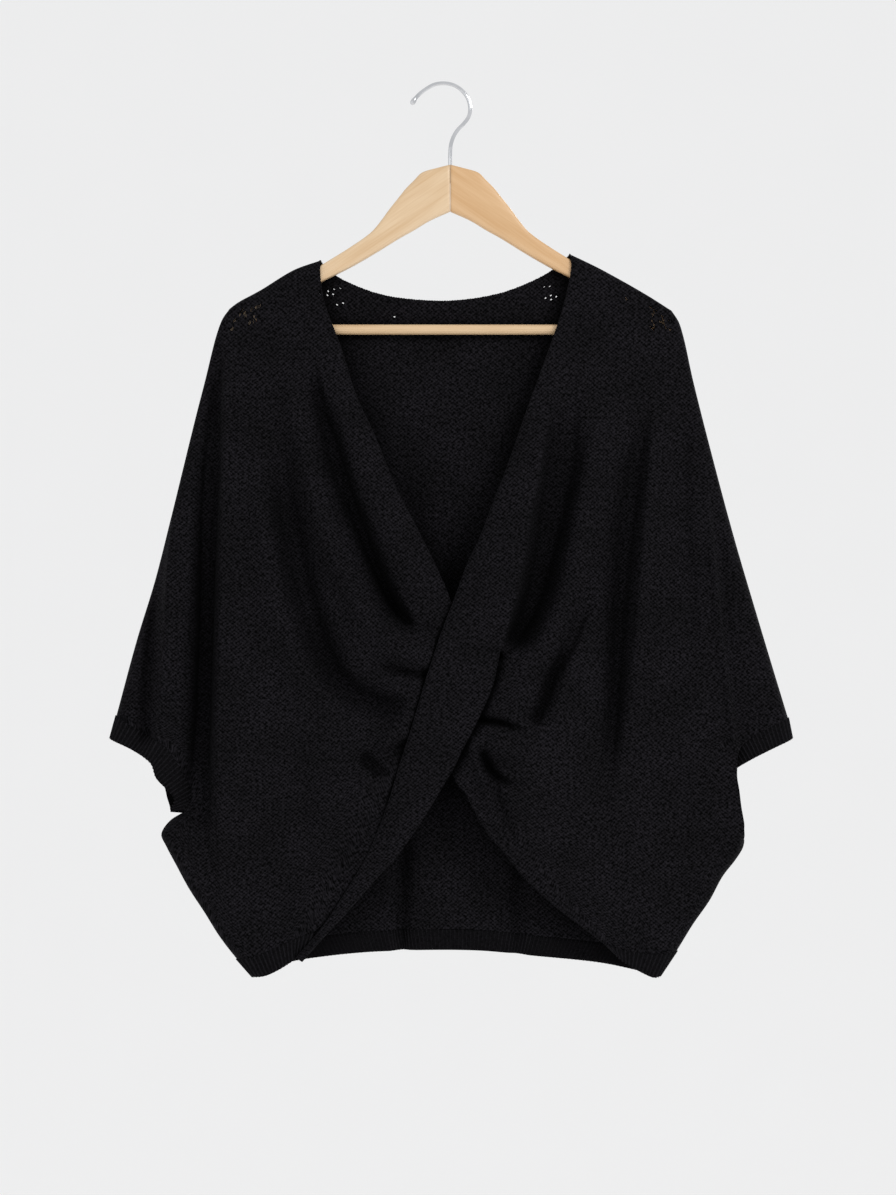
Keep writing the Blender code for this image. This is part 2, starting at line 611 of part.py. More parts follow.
def front_right(material):
    """The wearer's right front, at the viewer's left. It ends in a hidden seam behind the band."""
    behind = [(x - HIDDEN_SEAM_GAP / 2, z) for x, z in TUCK_SEAM]
    turned = [(x - HIDDEN_SEAM_GAP / 2, z) for x, z in TURN_SEAM]
    upper = NECK_EDGE + [(26, -527), (40, -547)] + behind[:4]
    middle = behind[3:] + turned[:3]
    lower = turned[2:-2] + [RIGHT_HEM_TOP[-1]]
    left = stretches(list(zip([RIGHT_SLEEVE, RIGHT_CUFF_TOP, RIGHT_SIDE[:-1]], RIGHT_ROWS)), EDGE_STEPS)
    right = stretches(list(zip([upper, middle, lower], RIGHT_ROWS)), EDGE_STEPS)
    widths = np.linalg.norm(right - left, axis=1)
    guides = fold_guides("right_groove", RIGHT_GUIDES, left, right)
    across = spread(widths, RIGHT_COLUMNS, EDGE_STEPS, (), guides)
    places = fill(along(RIGHT_SHOULDER, across[0]), RIGHT_HEM_TOP, left, right, across)
    sheet = both_sides(places, front_depth(places[..., 0], places[..., 1]), FRONT_RIMS)
    cloth_panel("right_front_panel", [sheet], material)
    return sheet


def band_rows(rows):
    """The band's edge and fold below the twist, with the depth of its top and the radius of its fold."""
    fractions = np.linspace(0, 1, rows + 1)[1:]
    edge = along(BAND_EDGE_LOWER, fractions)
    fold = along(BAND_FOLD_LOWER, fractions)
    heights = [-row.height for row in BAND_FORM]
    rise = np.interp(-fold[:, 1], heights, [row.rise for row in BAND_FORM])
    turn = np.interp(-fold[:, 1], heights, [row.turn for row in BAND_FORM])
    seam = np.array([BAND_FOLD_LOWER[0]] + TUCK_SEAM + TURN_SEAM, float)
    seam_x = np.interp(-fold[:, 1], -seam[:, 1], seam[:, 0])
    across = seam_x + np.linspace(0, 1, UNDER_LOOKS)[:, None] * (fold[:, 0] + PAST_FOLD - seam_x)
    under = front_depth(across, np.broadcast_to(fold[:, 1], across.shape)).max(axis=0)
    return edge, fold, under + rise, turn


def front_left(material):
    """The wearer's left front, whose band turns under at the fold and whose lower part comes out behind it."""
    upper_rows, cuff_rows, drop_rows, side_rows = LEFT_ROWS
    band_share = BAND_TOP_WIDTH / path_length(LEFT_SHOULDER)
    fold_path = [tuple(along(LEFT_SHOULDER, [band_share])[0])] + BAND_FOLD_UPPER
    behind = [(x + HIDDEN_SEAM_GAP / 2, z) for x, z in TUCK_SEAM]
    left = stretches([
        (fold_path, upper_rows - SLIT_ROWS), (SLIT[:2], 1), (SLIT[1:] + behind[1:4], SLIT_ROWS - 1),
        (behind[3:] + LOWER_EDGE_START, cuff_rows + drop_rows), (LOWER_EDGE, side_rows)], EDGE_STEPS)
    right = stretches([
        (LEFT_SLEEVE, upper_rows), (LEFT_CUFF_TOP, cuff_rows),
        (LEFT_CUFF_TOP[-1:] + LEFT_FRONT_DROP, drop_rows), (LEFT_SIDE[:-1], side_rows)], EDGE_STEPS)
    widths = np.linalg.norm(right - left, axis=1)
    guides = fold_guides("left_drop_ridge", LEFT_GUIDES, left, right)
    across = spread(widths, LEFT_COLUMNS, (), EDGE_STEPS, guides)
    shoulder = along(LEFT_SHOULDER, band_share + (1 - band_share) * across[0])
    places = fill(shoulder, LEFT_HEM_TOP, left, right, across)
    fold_gap, fold_side, _ = nearest(places[..., 0], places[..., 1], BAND_FOLD_LOWER)
    beside = ramp((SLIT_REACH - fold_gap * fold_side) / SLIT_SIDE_FADE)
    sunk = SLIT_DROP * ramp((SLIT[0][1] - places[..., 1]) / SLIT_FADE) * beside
    body = both_sides(places, front_depth(places[..., 0], places[..., 1]) - sunk, FRONT_RIMS)

    # The band above the twist shares its fold with the body
    count = upper_rows - SLIT_ROWS + 1
    edge = stretches([(BAND_EDGE_UPPER, upper_rows - SLIT_ROWS)], EDGE_STEPS)
    fold = places[:count, 0]
    standing = ramp((STAND_START - edge[:, 1]) / STAND_FADE)
    edge_depth = front_depth(edge[:, 0], edge[:, 1]) + BAND_STAND * standing
    fold_depth = front_depth(fold[:, 0], fold[:, 1])
    turn = np.zeros(count)

    # Below the twist it stands on the cloth behind it
    low_edge, low_fold, low_depth, low_turn = band_rows(BAND_LOWER_ROWS)
    low_edge_depth = front_depth(low_edge[:, 0], low_edge[:, 1]) + BAND_STAND
    edge = np.concatenate([edge, low_edge])
    fold = np.concatenate([fold, low_fold])
    edge_depth = np.concatenate([edge_depth, low_edge_depth])
    fold_depth = np.concatenate([fold_depth, low_depth])
    turn = np.concatenate([turn, low_turn])
    width = np.linalg.norm(fold - edge, axis=1)
    least_lower, least_upper, most = BAND_FLAT_LIMITS
    flat = 1 - np.clip(turn / width, np.where(turn > 0, least_lower, least_upper), most)
    share = [part * flat for part in BAND_SHARES] + [flat, 1 - ARC_MIDDLE * (1 - flat), np.ones_like(flat)]
    share = np.stack(share, axis=1)
    band_places = edge[:, None] + share[..., None] * (fold - edge)[:, None]
    level = np.minimum(share / flat[:, None], 1)
    crown = BAND_CROWN * 4 * level * (1 - level) * ramp(width / CROWN_WIDTH)[:, None]
    depth = edge_depth[:, None] + level * (fold_depth - edge_depth)[:, None] + crown
    depth[:, -2] = fold_depth - ARC_MIDDLE * turn
    depth[:, -1] = fold_depth - turn
    band_outer, band_inner = both_sides(band_places, depth, FRONT_RIMS)
    band_outer[:count, -1] = body[0][:count, 0]

    # The turned-under layer behind it, where the fold is wide enough to have one
    turned = slice(TURN_ROWS[0], TURN_ROWS[1] + 1)
    edge, fold, top, radius = [row[turned] for row in (low_edge, low_fold, low_depth, low_turn)]
    top = top + HALF_SEAM
    inwards = (edge - fold) / np.linalg.norm(edge - fold, axis=1)[:, None]
    seam = np.array(TURN_SEAM, float)
    seam_x = np.interp(-fold[:, 1], -seam[:, 1], seam[:, 0]) + HIDDEN_SEAM_GAP / 2
    below = fold[:, 1] < TURN_SEAM[1][1]
    narrow = fold + inwards * (radius + NARROW_END)[:, None]
    end = np.where(below[:, None], np.stack([seam_x, fold[:, 1]], axis=1), narrow)
    back = top - 2 * radius
    end_lift = np.where(below, front_lift(seam_x, fold[:, 1]) - WALL, back)
    bend = fold + inwards * radius[:, None]

    def arc(step_in, drop, wall_in, wall_drop):
        # distances in from the fold and down from the band's top, in radii and then in walls
        place = fold + inwards * (step_in * radius + wall_in * WALL)[:, None]
        return lifted(place, top - drop * radius - wall_drop * WALL)

    flat_back = lifted(0.5 * (bend + end), 0.5 * (back + end_lift))
    seam_end = lifted(end, end_lift)
    forwards = np.array([0, -WALL, 0])
    slant = 1 - ARC_MIDDLE
    under = [arc(0, 1, 0, 0), arc(ARC_MIDDLE, 2 - ARC_MIDDLE, 0, 0), arc(1, 2, 0, 0), flat_back, seam_end]
    under_inner = [arc(0, 1, 1, 0), arc(ARC_MIDDLE, 2 - ARC_MIDDLE, slant, -slant), arc(1, 2, 0, -1)]
    under_inner += [flat_back + forwards, seam_end + forwards]
    under, under_inner = np.stack(under, axis=1), np.stack(under_inner, axis=1)
    lower = slice(count + TURN_ROWS[0], count + TURN_ROWS[1] + 1)
    band_inner[lower, -1] = under_inner[:, 0]
    band_inner[lower, -2] = arc(ARC_MIDDLE, ARC_MIDDLE, slant, slant)
    band_inner[lower, -3] = arc(1, 0, 0, 1)
    cloth_panel("left_front_panel", [body, (under, under_inner), (band_outer, band_inner)], material)
    return body


def back_panel(material):
    left = stretches(list(zip([RIGHT_SLEEVE, RIGHT_CUFF_TOP_BACK, RIGHT_SIDE[:-1]], BACK_ROWS)), EDGE_STEPS)
    armpit = LEFT_CUFF_TOP_BACK[-1:] + LEFT_SIDE[:-1]
    right = stretches(list(zip([LEFT_SLEEVE, LEFT_CUFF_TOP_BACK, armpit], BACK_ROWS)), EDGE_STEPS)
    widths = np.linalg.norm(right - left, axis=1)
    whole = path_length(RIGHT_SHOULDER) + path_length(BACK_NECK) + path_length(LEFT_SHOULDER)
    first_share, last_share = path_length(RIGHT_SHOULDER) / whole, 1 - path_length(LEFT_SHOULDER) / whole
    steps = np.array((0,) + EDGE_STEPS) / whole
    first, last = SHOULDER_COLUMNS, BACK_COLUMNS - SHOULDER_COLUMNS
    guides = [(first + k, np.full(len(left), first_share + step)) for k, step in enumerate(steps)]
    guides += [(last - k, np.full(len(left), last_share - step)) for k, step in enumerate(steps)][::-1]
    across = spread(widths, BACK_COLUMNS, EDGE_STEPS, EDGE_STEPS, guides)
    top = np.concatenate([
        along(RIGHT_SHOULDER, across[0, :first] / first_share),
        along(BACK_NECK, (across[0, first:last] - first_share) / (last_share - first_share)),
        along(LEFT_SHOULDER, (across[0, last:] - last_share) / (1 - last_share)),
    ])
    places = fill(top, BACK_HEM_TOP, left, right, across)
    sheet = both_sides(places, back_depth(places[..., 0], places[..., 1]), BACK_RIMS, 1.0)
    cloth_panel("back_panel", [[side[:, ::-1] for side in sheet]], material)
    return sheet


def edge_points(path, depth_at, rims, sign=-1.0):
    """The outer points of a free edge, which is rounded off at the rims."""
    places = along(path, np.linspace(0, 1, PATH_POINTS))
    x, z = places.T
    return lifted(places, HALF_SEAM + depth_at(x, z) * rounded(x, z, rims), sign)


def ring(name, front, back, rims, material):
    """A cuff from its front and back half. Their ends meet on the middle plane."""
    for first, second in zip(front, back):
        for here, there in ((0, -1), (-1, 0)):
            meeting = 0.5 * (first[here] + second[there])
            meeting[1] = 0
            first[here] = meeting
            second[there] = meeting
    rib_band(name, [front, back], rims, material)


def cuff_rows(counts):
    """The rows of a panel whose ends lie on the cuff's seam."""
    return slice(counts[0], counts[0] + counts[1] + 1)


def right_cuff(front, back, material):
    front_rows, back_rows = cuff_rows(RIGHT_ROWS), cuff_rows(BACK_ROWS)
    front_half = [front[0][front_rows, 0].copy(), edge_points(RIGHT_CUFF_EDGE, front_depth, RIGHT_CUFF_RIMS)]
    back_edge = edge_points(RIGHT_CUFF_EDGE_BACK[::-1], back_depth, RIGHT_CUFF_RIMS, 1.0)
    back_half = [back[0][back_rows, 0][::-1].copy(), back_edge]
    ring("right_cuff", front_half, back_half, RIGHT_CUFF_RIMS, material)


def left_cuff(front, back, material):
    """The front's side hangs before this cuff, so part of the rib starts behind it."""
    def plain_depth(x, z):
        return form(x, z, FRONT_FORM) - CUFF_BEHIND

    hidden = edge_points(LEFT_CUFF_HIDDEN[::-1], plain_depth, LEFT_CUFF_RIMS)[::CUFF_THINNING]
    seen = front[0][cuff_rows(LEFT_ROWS), -1][:-1]
    front_top = np.concatenate([hidden, seen[::-1]])
    front_half = [front_top, edge_points(LEFT_CUFF_EDGE[::-1], plain_depth, LEFT_CUFF_RIMS)]
    back_edge = edge_points(LEFT_CUFF_EDGE_BACK, back_depth, LEFT_CUFF_RIMS, 1.0)
    back_half = [back[0][cuff_rows(BACK_ROWS), -1].copy(), back_edge]
    ring("left_cuff", front_half, back_half, LEFT_CUFF_RIMS, material)


def hem_ribs(right, left, back, material):
    fronts = (("right_front_hem", right, RIGHT_HEM_EDGE), ("left_front_hem", left, LEFT_HEM_EDGE))
    for name, sheet, path in fronts:
        edge = edge_points(path, front_depth, FRONT_RIMS)
        rib_band(name, [(sheet[0][-1], edge)], FRONT_RIMS, material)
    edge = edge_points(BACK_HEM_EDGE[::-1], back_depth, BACK_RIMS, 1.0)
    rib_band("back_hem", [(back[0][-1, ::-1], edge)], BACK_RIMS, material)


def hanger_arm(name, side, material):
    """Rounded sections between the upper and lower edge, cut for the hook and for the bar's tenon."""
    fractions = np.linspace(0, 1, ARM_SECTIONS)
    top, bottom = along(ARM_TOP, fractions), along(ARM_BOTTOM, fractions)
    angles = (np.arange(ARM_SIDES) + 0.5) * 2 * math.pi / ARM_SIDES
    rings = []
    for high, low in zip(top, bottom):
        centre, half = (high + low) / 2, (high - low) / 2
        for angle in angles:
            up = math.copysign(abs(math.sin(angle)) ** ARM_SQUARENESS, math.sin(angle))
            out = math.copysign(abs(math.cos(angle)) ** ARM_SQUARENESS, math.cos(angle))
            place = centre + up * half
            x = CENTRE + side * max(CENTRE - place[0], HALF_SEAM)
            rings.append((x, out * HANGER_THICKNESS / 2, place[1]))
    size = len(angles)
    faces = []
    for section in range(ARM_SECTIONS - 1):
        for k in range(size):
            here, after = section * size + k, section * size + (k + 1) % size
            faces.append([here, after, after + size, here + size])
    faces.append(list(range(size))[::-1])
    faces.append([(ARM_SECTIONS - 1) * size + k for k in range(size)])
    if side < 0:
        faces = [face[::-1] for face in faces]
    arm = make_object(name, np.array(rings), faces, material)
    solid = bmesh.new()
    solid.from_mesh(arm.data)
    bmesh.ops.recalc_face_normals(solid, faces=solid.faces)
    solid.to_mesh(arm.data)
    solid.free()
    hook_place = (CENTRE, 0, HOOK_HOLE_HEIGHT)
    hook_hole = cutter(name + "_hook_hole", hook_place, WIRE_RADIUS + HOLE_CLEARANCE, (0, 0, 0))
    socket_place = (CENTRE + side * (CENTRE - BAR_END - SOCKET_INWARDS), 0, BAR_HEIGHT)
    socket = cutter(name + "_socket", socket_place, TENON_RADIUS + HOLE_CLEARANCE, (0, math.pi / 2, 0))
    for hole in (hook_hole, socket):
        cut = arm.modifiers.new("cut", "BOOLEAN")
        cut.operation = "DIFFERENCE"
        cut.solver = "EXACT"
        cut.object = hole


def cutter(name, centre, radius, turn):
    bpy.ops.mesh.primitive_cylinder_add(vertices=ROUND_SIDES, radius=radius * MM, depth=HOLE_LENGTH * MM)
    hole = bpy.context.object
    hole.name = name
    hole.location = [value * MM for value in centre]
    hole.rotation_euler = turn
    hole.hide_render = True
    hole.display_type = "WIRE"
    return hole


def hanger_bar(material):
    """A dowel with a thinner tenon at each end."""
    half = CENTRE - BAR_END - HALF_SEAM
    shoulder = CENTRE - BAR_SHOULDER
    profile = [
        (half, 0), (half, TENON_RADIUS), (shoulder + TENON_TAPER, TENON_RADIUS), (shoulder, BAR_RADIUS),
        (-shoulder, BAR_RADIUS), (-shoulder - TENON_TAPER, TENON_RADIUS), (-half, TENON_RADIUS), (-half, 0),
    ]
    bar = bmesh.new()
    points = [bar.verts.new((x * MM, 0, radius * MM)) for x, radius in profile]
    lines = [bar.edges.new(pair) for pair in zip(points, points[1:])]
    bmesh.ops.spin(
        bar, geom=points + lines, axis=(1, 0, 0), cent=(0, 0, 0), angle=2 * math.pi, steps=ROUND_SIDES,
        use_merge=True)
    bmesh.ops.remove_doubles(bar, verts=bar.verts, dist=0.00001)
    bmesh.ops.recalc_face_normals(bar, faces=bar.faces)
    mesh = bpy.data.meshes.new("hanger_bar")
    bar.to_mesh(mesh)
    bar.free()
    mesh.materials.append(material)
    mesh.shade_smooth()
    mesh.set_sharp_from_angle(angle=math.radians(40))
    obj = bpy.data.objects.new("hanger_bar", mesh)
    obj.location = (CENTRE * MM, 0, BAR_HEIGHT * MM)
    bpy.context.scene.collection.objects.link(obj)


def hanger_hook(material):
    """A bent wire whose open end is slightly thicker."""
    route = along(HOOK, np.linspace(0, 1, HOOK_STEPS))
    curve = bpy.data.curves.new("hanger_hook", "CURVE")
    curve.dimensions = "3D"
    curve.bevel_depth = WIRE_RADIUS * MM
    curve.bevel_resolution = 2
    curve.use_fill_caps = True
    line = curve.splines.new("POLY")
    line.points.add(HOOK_STEPS - 1)
    for number, (point, place) in enumerate(zip(line.points, route)):
        point.co = (place[0] * MM, 0, place[1] * MM, 1)
        point.radius = HOOK_BALL if number in (1, 2) else 1.0
    curve.materials.append(material)
    hook = bpy.data.objects.new("hanger_hook", curve)
    bpy.context.scene.collection.objects.link(hook)


for old in list(bpy.data.objects):
    bpy.data.objects.remove(old, do_unlink=True)

KNIT = make_material("black_knit", (0.012, 0.012, 0.014), 0.9)
WOOD = make_material("pale_wood", (0.78, 0.56, 0.33), 0.45)
WIRE = make_material("polished_wire", (0.78, 0.78, 0.8), 0.18, 1.0)

right_front = front_right(KNIT)
left_front = front_left(KNIT)
back = back_panel(KNIT)
right_cuff(right_front, back, KNIT)
left_cuff(left_front, back, KNIT)
hem_ribs(right_front, left_front, back, KNIT)
hanger_arm("hanger_right_arm", -1, WOOD)
hanger_arm("hanger_left_arm", 1, WOOD)
hanger_bar(WOOD)
hanger_hook(WIRE)
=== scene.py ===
from collections import namedtuple
import math

import bpy
import numpy as np
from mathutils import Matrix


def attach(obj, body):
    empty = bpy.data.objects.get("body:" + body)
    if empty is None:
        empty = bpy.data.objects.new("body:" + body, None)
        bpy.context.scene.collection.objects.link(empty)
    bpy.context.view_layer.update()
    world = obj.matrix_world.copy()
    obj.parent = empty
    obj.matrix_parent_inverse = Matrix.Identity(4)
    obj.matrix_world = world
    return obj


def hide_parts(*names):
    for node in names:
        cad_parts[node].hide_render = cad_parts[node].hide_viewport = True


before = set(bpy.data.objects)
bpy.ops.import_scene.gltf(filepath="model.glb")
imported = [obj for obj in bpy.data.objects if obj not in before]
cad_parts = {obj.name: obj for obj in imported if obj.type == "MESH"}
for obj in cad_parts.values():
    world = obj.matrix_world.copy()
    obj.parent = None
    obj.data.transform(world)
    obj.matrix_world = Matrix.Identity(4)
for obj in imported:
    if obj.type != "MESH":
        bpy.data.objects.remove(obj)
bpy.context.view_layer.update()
print("frame loaded,", len(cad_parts), "nodes")

mm = 0.001
centre = 7.0  # the hanger's middle across
halfSeam = 0.15  # half the gap between two sewn pieces
rimSlack = 0.05
curvePoints = 24  # points worked out on a curve for each point of its table
rimPoints = 80
edgePoints = 60
rimStretch = 8  # how many steps of a rim are searched together
rimMargin = 2.0

cloth = {
    "wall": 1.6,
    "rounding": 10.0,  # how far in from a seam the cloth rounds over
    "steepest": 1.6,  # the most that a steep stretch thickens the wall front to back
    "leastInner": 0.8,  # how near to the middle plane the inner side may come
    "leastDepth": 2.6,  # where the floor of a deep fold stops, and how softly it gets there
    "floorSoftness": 2.2,
    "hiddenSeamGap": 1.2,
    "mostExtra": 0.08,  # how much longer than it looks a steep stretch counts on the flat cloth
    "lookInwards": (0.6, -0.18),  # the step off a rim, and the one around it, that find its slope
    "lookAround": 0.2,
}

Fold = namedtuple("Fold", "name depth left right start end path")
Height = namedtuple("Height", "height edge centre")
BandForm = namedtuple("BandForm", "height rise turn")

# Outlines of the cloth, seen from the front
rightShoulder = [(-209, -219), (-201, -213), (-179, -201), (-146, -181), (-121, -172)]
leftShoulder = [(125, -166), (140, -173), (156, -181), (197, -204), (224, -221)]
backNeck = [
    (-121, -172), (-106, -186), (-91, -194), (-64, -204), (-36, -209), (5, -211),
    (46, -206), (73, -198), (101, -185), (115, -175), (125, -166),
]
rightSleeve = [
    (-209, -219), (-216, -229), (-222, -245), (-233, -289), (-243, -328), (-267, -426), (-282, -485),
    (-300, -544), (-320, -618),
]
leftSleeve = [
    (224, -221), (231, -232), (236, -248), (245, -289), (265, -368), (286, -446), (309, -524), (321, -564),
    (338, -620),
]
rightSide = [
    (-254, -712), (-268, -721), (-276, -734), (-271, -746), (-262, -763),
    (-249, -787), (-234, -810), (-219, -834), (-202, -856), (-187, -873),
]
leftSide = [
    (295, -738), (294, -746), (287, -758), (274, -775), (261, -799), (245, -822), (229, -848), (213, -872),
]
neckEdge = [
    (-121, -172), (-120, -194), (-117, -211), (-110, -232), (-101, -255), (-85, -305), (-66, -346),
    (-47, -393), (-28, -430), (-10, -466), (3, -494), (9, -510),
]

# The band that crosses the front: its finished edge, its fold, and the hidden seam behind it
bandEdgeUpper = [
    (125, -166), (126, -177), (124, -192), (117, -221), (108, -248), (95, -284), (79, -328), (62, -377),
    (50, -407), (37, -442), (25, -467), (10, -507), (-3, -541), (-7, -553),
]
bandEdgeLower = [
    (-7, -553), (-16, -581), (-30, -628), (-44, -672), (-54, -705), (-72, -750), (-101, -799),
    (-121, -828), (-143, -853),
]
bandFoldUpper = [
    (132, -200), (127, -236), (116, -265), (106, -289), (102, -329), (97, -354), (92, -385),
    (86, -414), (81, -445), (75, -473), (69, -505), (62, -532), (56, -553),
]
bandFoldLower = [
    (56, -553), (54, -563), (48, -589), (34, -621), (19, -650), (11, -667), (2, -682),
    (-18, -715), (-42, -750), (-67, -778), (-91, -806), (-115, -832), (-137, -857),
]
slit = [(56, -553), (57.5, -560.5), (52.5, -565), (46.6, -570)]
neckHidden = [(26, -527), (40, -547)]
tuckSeam = [(46, -566), (40, -585), (28, -605), (20, -621), (10, -640), (3, -655)]
turnSeam = [
    (-4, -668), (-14, -684), (-32, -712), (-56, -747), (-78, -776), (-101, -806), (-118, -823), (-140, -846),
]
lowerEdgeStart = [(5, -662), (10, -672), (14, -682), (22, -691), (29, -705), (46, -734)]
lowerEdge = [(46, -734), (58, -747), (70, -763), (97, -791), (120, -810), (147, -831), (160, -841)]

# Cuffs: where the rib starts and its free edge, in front and behind
rightCuffTop = [(-320, -618), (-296, -632), (-271, -647), (-257, -669), (-248, -691), (-254, -712)]
rightCuffTopBack = [(-320, -618), (-297, -634), (-275, -652), (-262, -676), (-257, -697), (-254, -712)]
rightCuffEdge = [
    (-326, -640), (-301, -652), (-285, -664), (-280, -678), (-270, -689), (-262, -699), (-267, -711),
]
rightCuffEdgeBack = [(-326, -640), (-300, -655), (-283, -670), (-274, -688), (-271, -700), (-267, -711)]
leftCuffTop = [(338, -620), (321, -628), (305, -637), (292, -646)]
leftCuffHidden = [(286, -653), (280, -657), (268, -668), (262, -690), (265, -708), (274, -720)]
leftCuffTopBack = [(338, -620), (305, -637), (281, -655), (266, -675), (262, -698), (274, -720)]
leftCuffEdge = [(342, -640), (317, -652), (296, -663), (283, -672), (278, -690), (280, -712), (286, -728)]
leftCuffEdgeBack = [(342, -640), (317, -654), (295, -666), (281, -677), (277, -694), (279, -713), (286, -728)]
leftFrontDrop = [(287, -654), (286, -667), (286, -677), (288, -689), (290, -705), (293, -722), (295, -738)]

# Hem ribs: where the rib starts and its free edge
rightHemTop = [(-202, -856), (-185, -853), (-168, -846), (-149, -837), (-127, -829)]
rightHemEdge = [(-187, -873), (-173, -871), (-160, -865), (-146, -856), (-134, -848)]
leftHemTop = [(160, -841), (185, -848), (208, -850), (229, -848)]
leftHemEdge = [(168, -849), (174, -856), (192, -867), (206, -873), (213, -872)]
backHemTop = [
    (-202, -856), (-165, -843), (-119, -835), (-64, -830), (32, -829), (87, -834), (156, -841), (229, -848),
]
backHemEdge = [
    (-187, -873), (-173, -868), (-150, -860), (-119, -855), (-64, -850), (32, -849), (87, -854),
    (156, -861), (195, -869), (213, -872),
]

# How far the front stands forward at each height, near the sides and near the middle
frontForm = [
    Height(-168, 8.6, 8.6), Height(-250, 8.6, 10), Height(-330, 10, 16), Height(-430, 12, 24),
    Height(-530, 14, 32), Height(-600, 15, 36), Height(-680, 15, 35), Height(-760, 14, 30),
    Height(-875, 13, 24),
]
backForm = [
    Height(-168, 8.6, 8.6), Height(-250, 8.6, 9.5), Height(-430, 11, 12), Height(-600, 13, 13),
    Height(-760, 12, 12), Height(-875, 9, 12),
]
edgeReach = 235.0  # how far from the middle the first of these depths begins, and the second ends
centreReach = 40.0

# Troughs have a positive depth and ridges a negative one. left and right are the widths on the two sides,
# start and end the shares of the length over which a fold fades in and out.
frontFolds = [
    Fold("rightNeckTrough", 17, 13, 7, 0.35, 0.12, [
        (-125, -286), (-113, -326), (-101, -373), (-91, -405), (-75, -443), (-63, -474), (-50, -506),
        (-38, -524), (-25, -534)]),
    Fold("rightNeckCrease", 3.5, 5, 4, 0.1, 0.3, [(-28, -533), (-18, -532), (-8, -530)]),
    Fold("rightLongTrough", 13, 14, 12, 0.35, 0.1, [
        (-168, -314), (-157, -368), (-151, -412), (-141, -459), (-132, -496), (-117, -543), (-101, -581),
        (-81, -600), (-54, -609), (-28, -615)]),
    Fold("rightShortCrease", 5, 4, 5, 0.5, 0, [(-76, -562), (-54, -567), (-36, -573), (-14, -578)]),
    Fold("rightLowDent", 7, 10, 9, 0.4, 0, [(-82, -655), (-64, -661), (-52, -657), (-40, -648)]),
    Fold("rightLowRay", -4, 5, 6, 0.3, 0, [(-70, -650), (-50, -640), (-30, -634)]),
    Fold("rightSwag", -5, 16, 16, 0.3, 0.1, [(-96, -500), (-78, -540), (-52, -562), (-20, -556)]),
    Fold("rightGroove", 25, 15, 9, 0.3, 0.12, [
        (-219, -290), (-224, -345), (-227, -399), (-230, -493), (-233, -587), (-235, -678), (-236, -745)]),
    Fold("rightBodyFold", -11, 10, 46, 0.3, 0.25, [
        (-211, -330), (-211, -400), (-212, -493), (-214, -587), (-216, -680), (-212, -760), (-200, -830)]),
    Fold("rightSleeveFold", -9, 26, 16, 0.35, 0.2, [
        (-246, -420), (-254, -500), (-260, -560), (-266, -610), (-270, -640), (-272, -680)]),
    Fold("leftBandTrough", 12, 20, 15, 0.3, 0.08, [
        (131, -300), (127, -354), (119, -394), (112, -431), (104, -466), (96, -500), (86, -520), (74, -537),
        (62, -551)]),
    Fold("leftBandRidge", -9, 14, 5, 0.45, 0, bandFoldUpper[2:]),
    Fold("leftMiddleRidge", -6, 16, 20, 0.4, 0.3, [
        (158, -330), (146, -400), (136, -460), (122, -520), (100, -570), (70, -596)]),
    Fold("leftKnotBulge", -5, 16, 18, 0.2, 0.2, [(58, -600), (62, -640), (58, -668)]),
    Fold("leftSlantCrease", 9, 10, 4, 0.45, 0.05, [
        (158, -469), (139, -515), (123, -554), (108, -578), (99, -605), (87, -629)]),
    Fold("leftKnotCrease", 6, 4, 4, 0, 0.4, [(24, -620), (40, -621), (55, -622), (72, -629)]),
    Fold("leftKnotPocket", 6, 5, 6, 0.15, 0.5, [(35, -648), (42, -663), (50, -674), (66, -683)]),
    Fold("leftEdgeRidge", -4, 9, 7, 0, 0.5, [
        (27, -640), (32, -659), (38, -678), (48, -710), (53, -732), (67, -752)]),
    Fold("leftLongTrough", 12, 15, 8, 0.35, 0.25, [
        (198, -307), (191, -348), (183, -403), (178, -446), (172, -505), (170, -564), (168, -622), (164, -662),
        (158, -705)]),
    Fold("leftOuterRidge", -5, 22, 22, 0.4, 0.3, [(210, -350), (206, -450), (202, -560), (204, -680)]),
    Fold("leftDropRidge", -12, 60, 4.5, 0.35, 0, [
        (252, -363), (257, -390), (261, -446), (264, -475), (269, -534), (275, -578), (281, -622),
        (287, -667), (289, -700), (292, -722)]),
    Fold("leftLowWave", -4, 30, 30, 0.3, 0.3, [(210, -690), (196, -760), (190, -820)]),
    Fold("rightLowWave", 4, 26, 26, 0.4, 0.3, [(-140, -640), (-150, -720), (-160, -800)]),
]
backFolds = [
    Fold("backRightTrough", 5, 8, 8, 0.4, 0, [(-56, -640), (-50, -740), (-48, -800), (-48, -860)]),
    Fold("backLeftTrough", 4.5, 9, 9, 0.4, 0, [(68, -620), (74, -720), (76, -800), (76, -860)]),
    Fold("backRightWave", -5, 24, 24, 0.3, 0.2, [(-190, -330), (-206, -500), (-214, -700)]),
    Fold("backLeftWave", -5, 24, 24, 0.3, 0.2, [(196, -330), (214, -500), (226, -700)]),
    Fold("backRightSleeve", 4, 16, 16, 0.3, 0.2, [(-228, -360), (-246, -500), (-262, -620)]),
    Fold("backLeftSleeve", 4, 16, 16, 0.3, 0.2, [(240, -360), (262, -500), (286, -620)]),
    Fold("backMiddleWave", -4, 40, 40, 0.3, 0.2, [(8, -300), (6, -500), (12, -700)]),
]

# How far the cloth under the band is pressed back, from the height "top" down, and how that fades at its edges
pressed = {"depth": 4.0, "top": -492.0, "topFade": 20.0, "before": 5.0, "past": 10.0, "fade": 9.0}

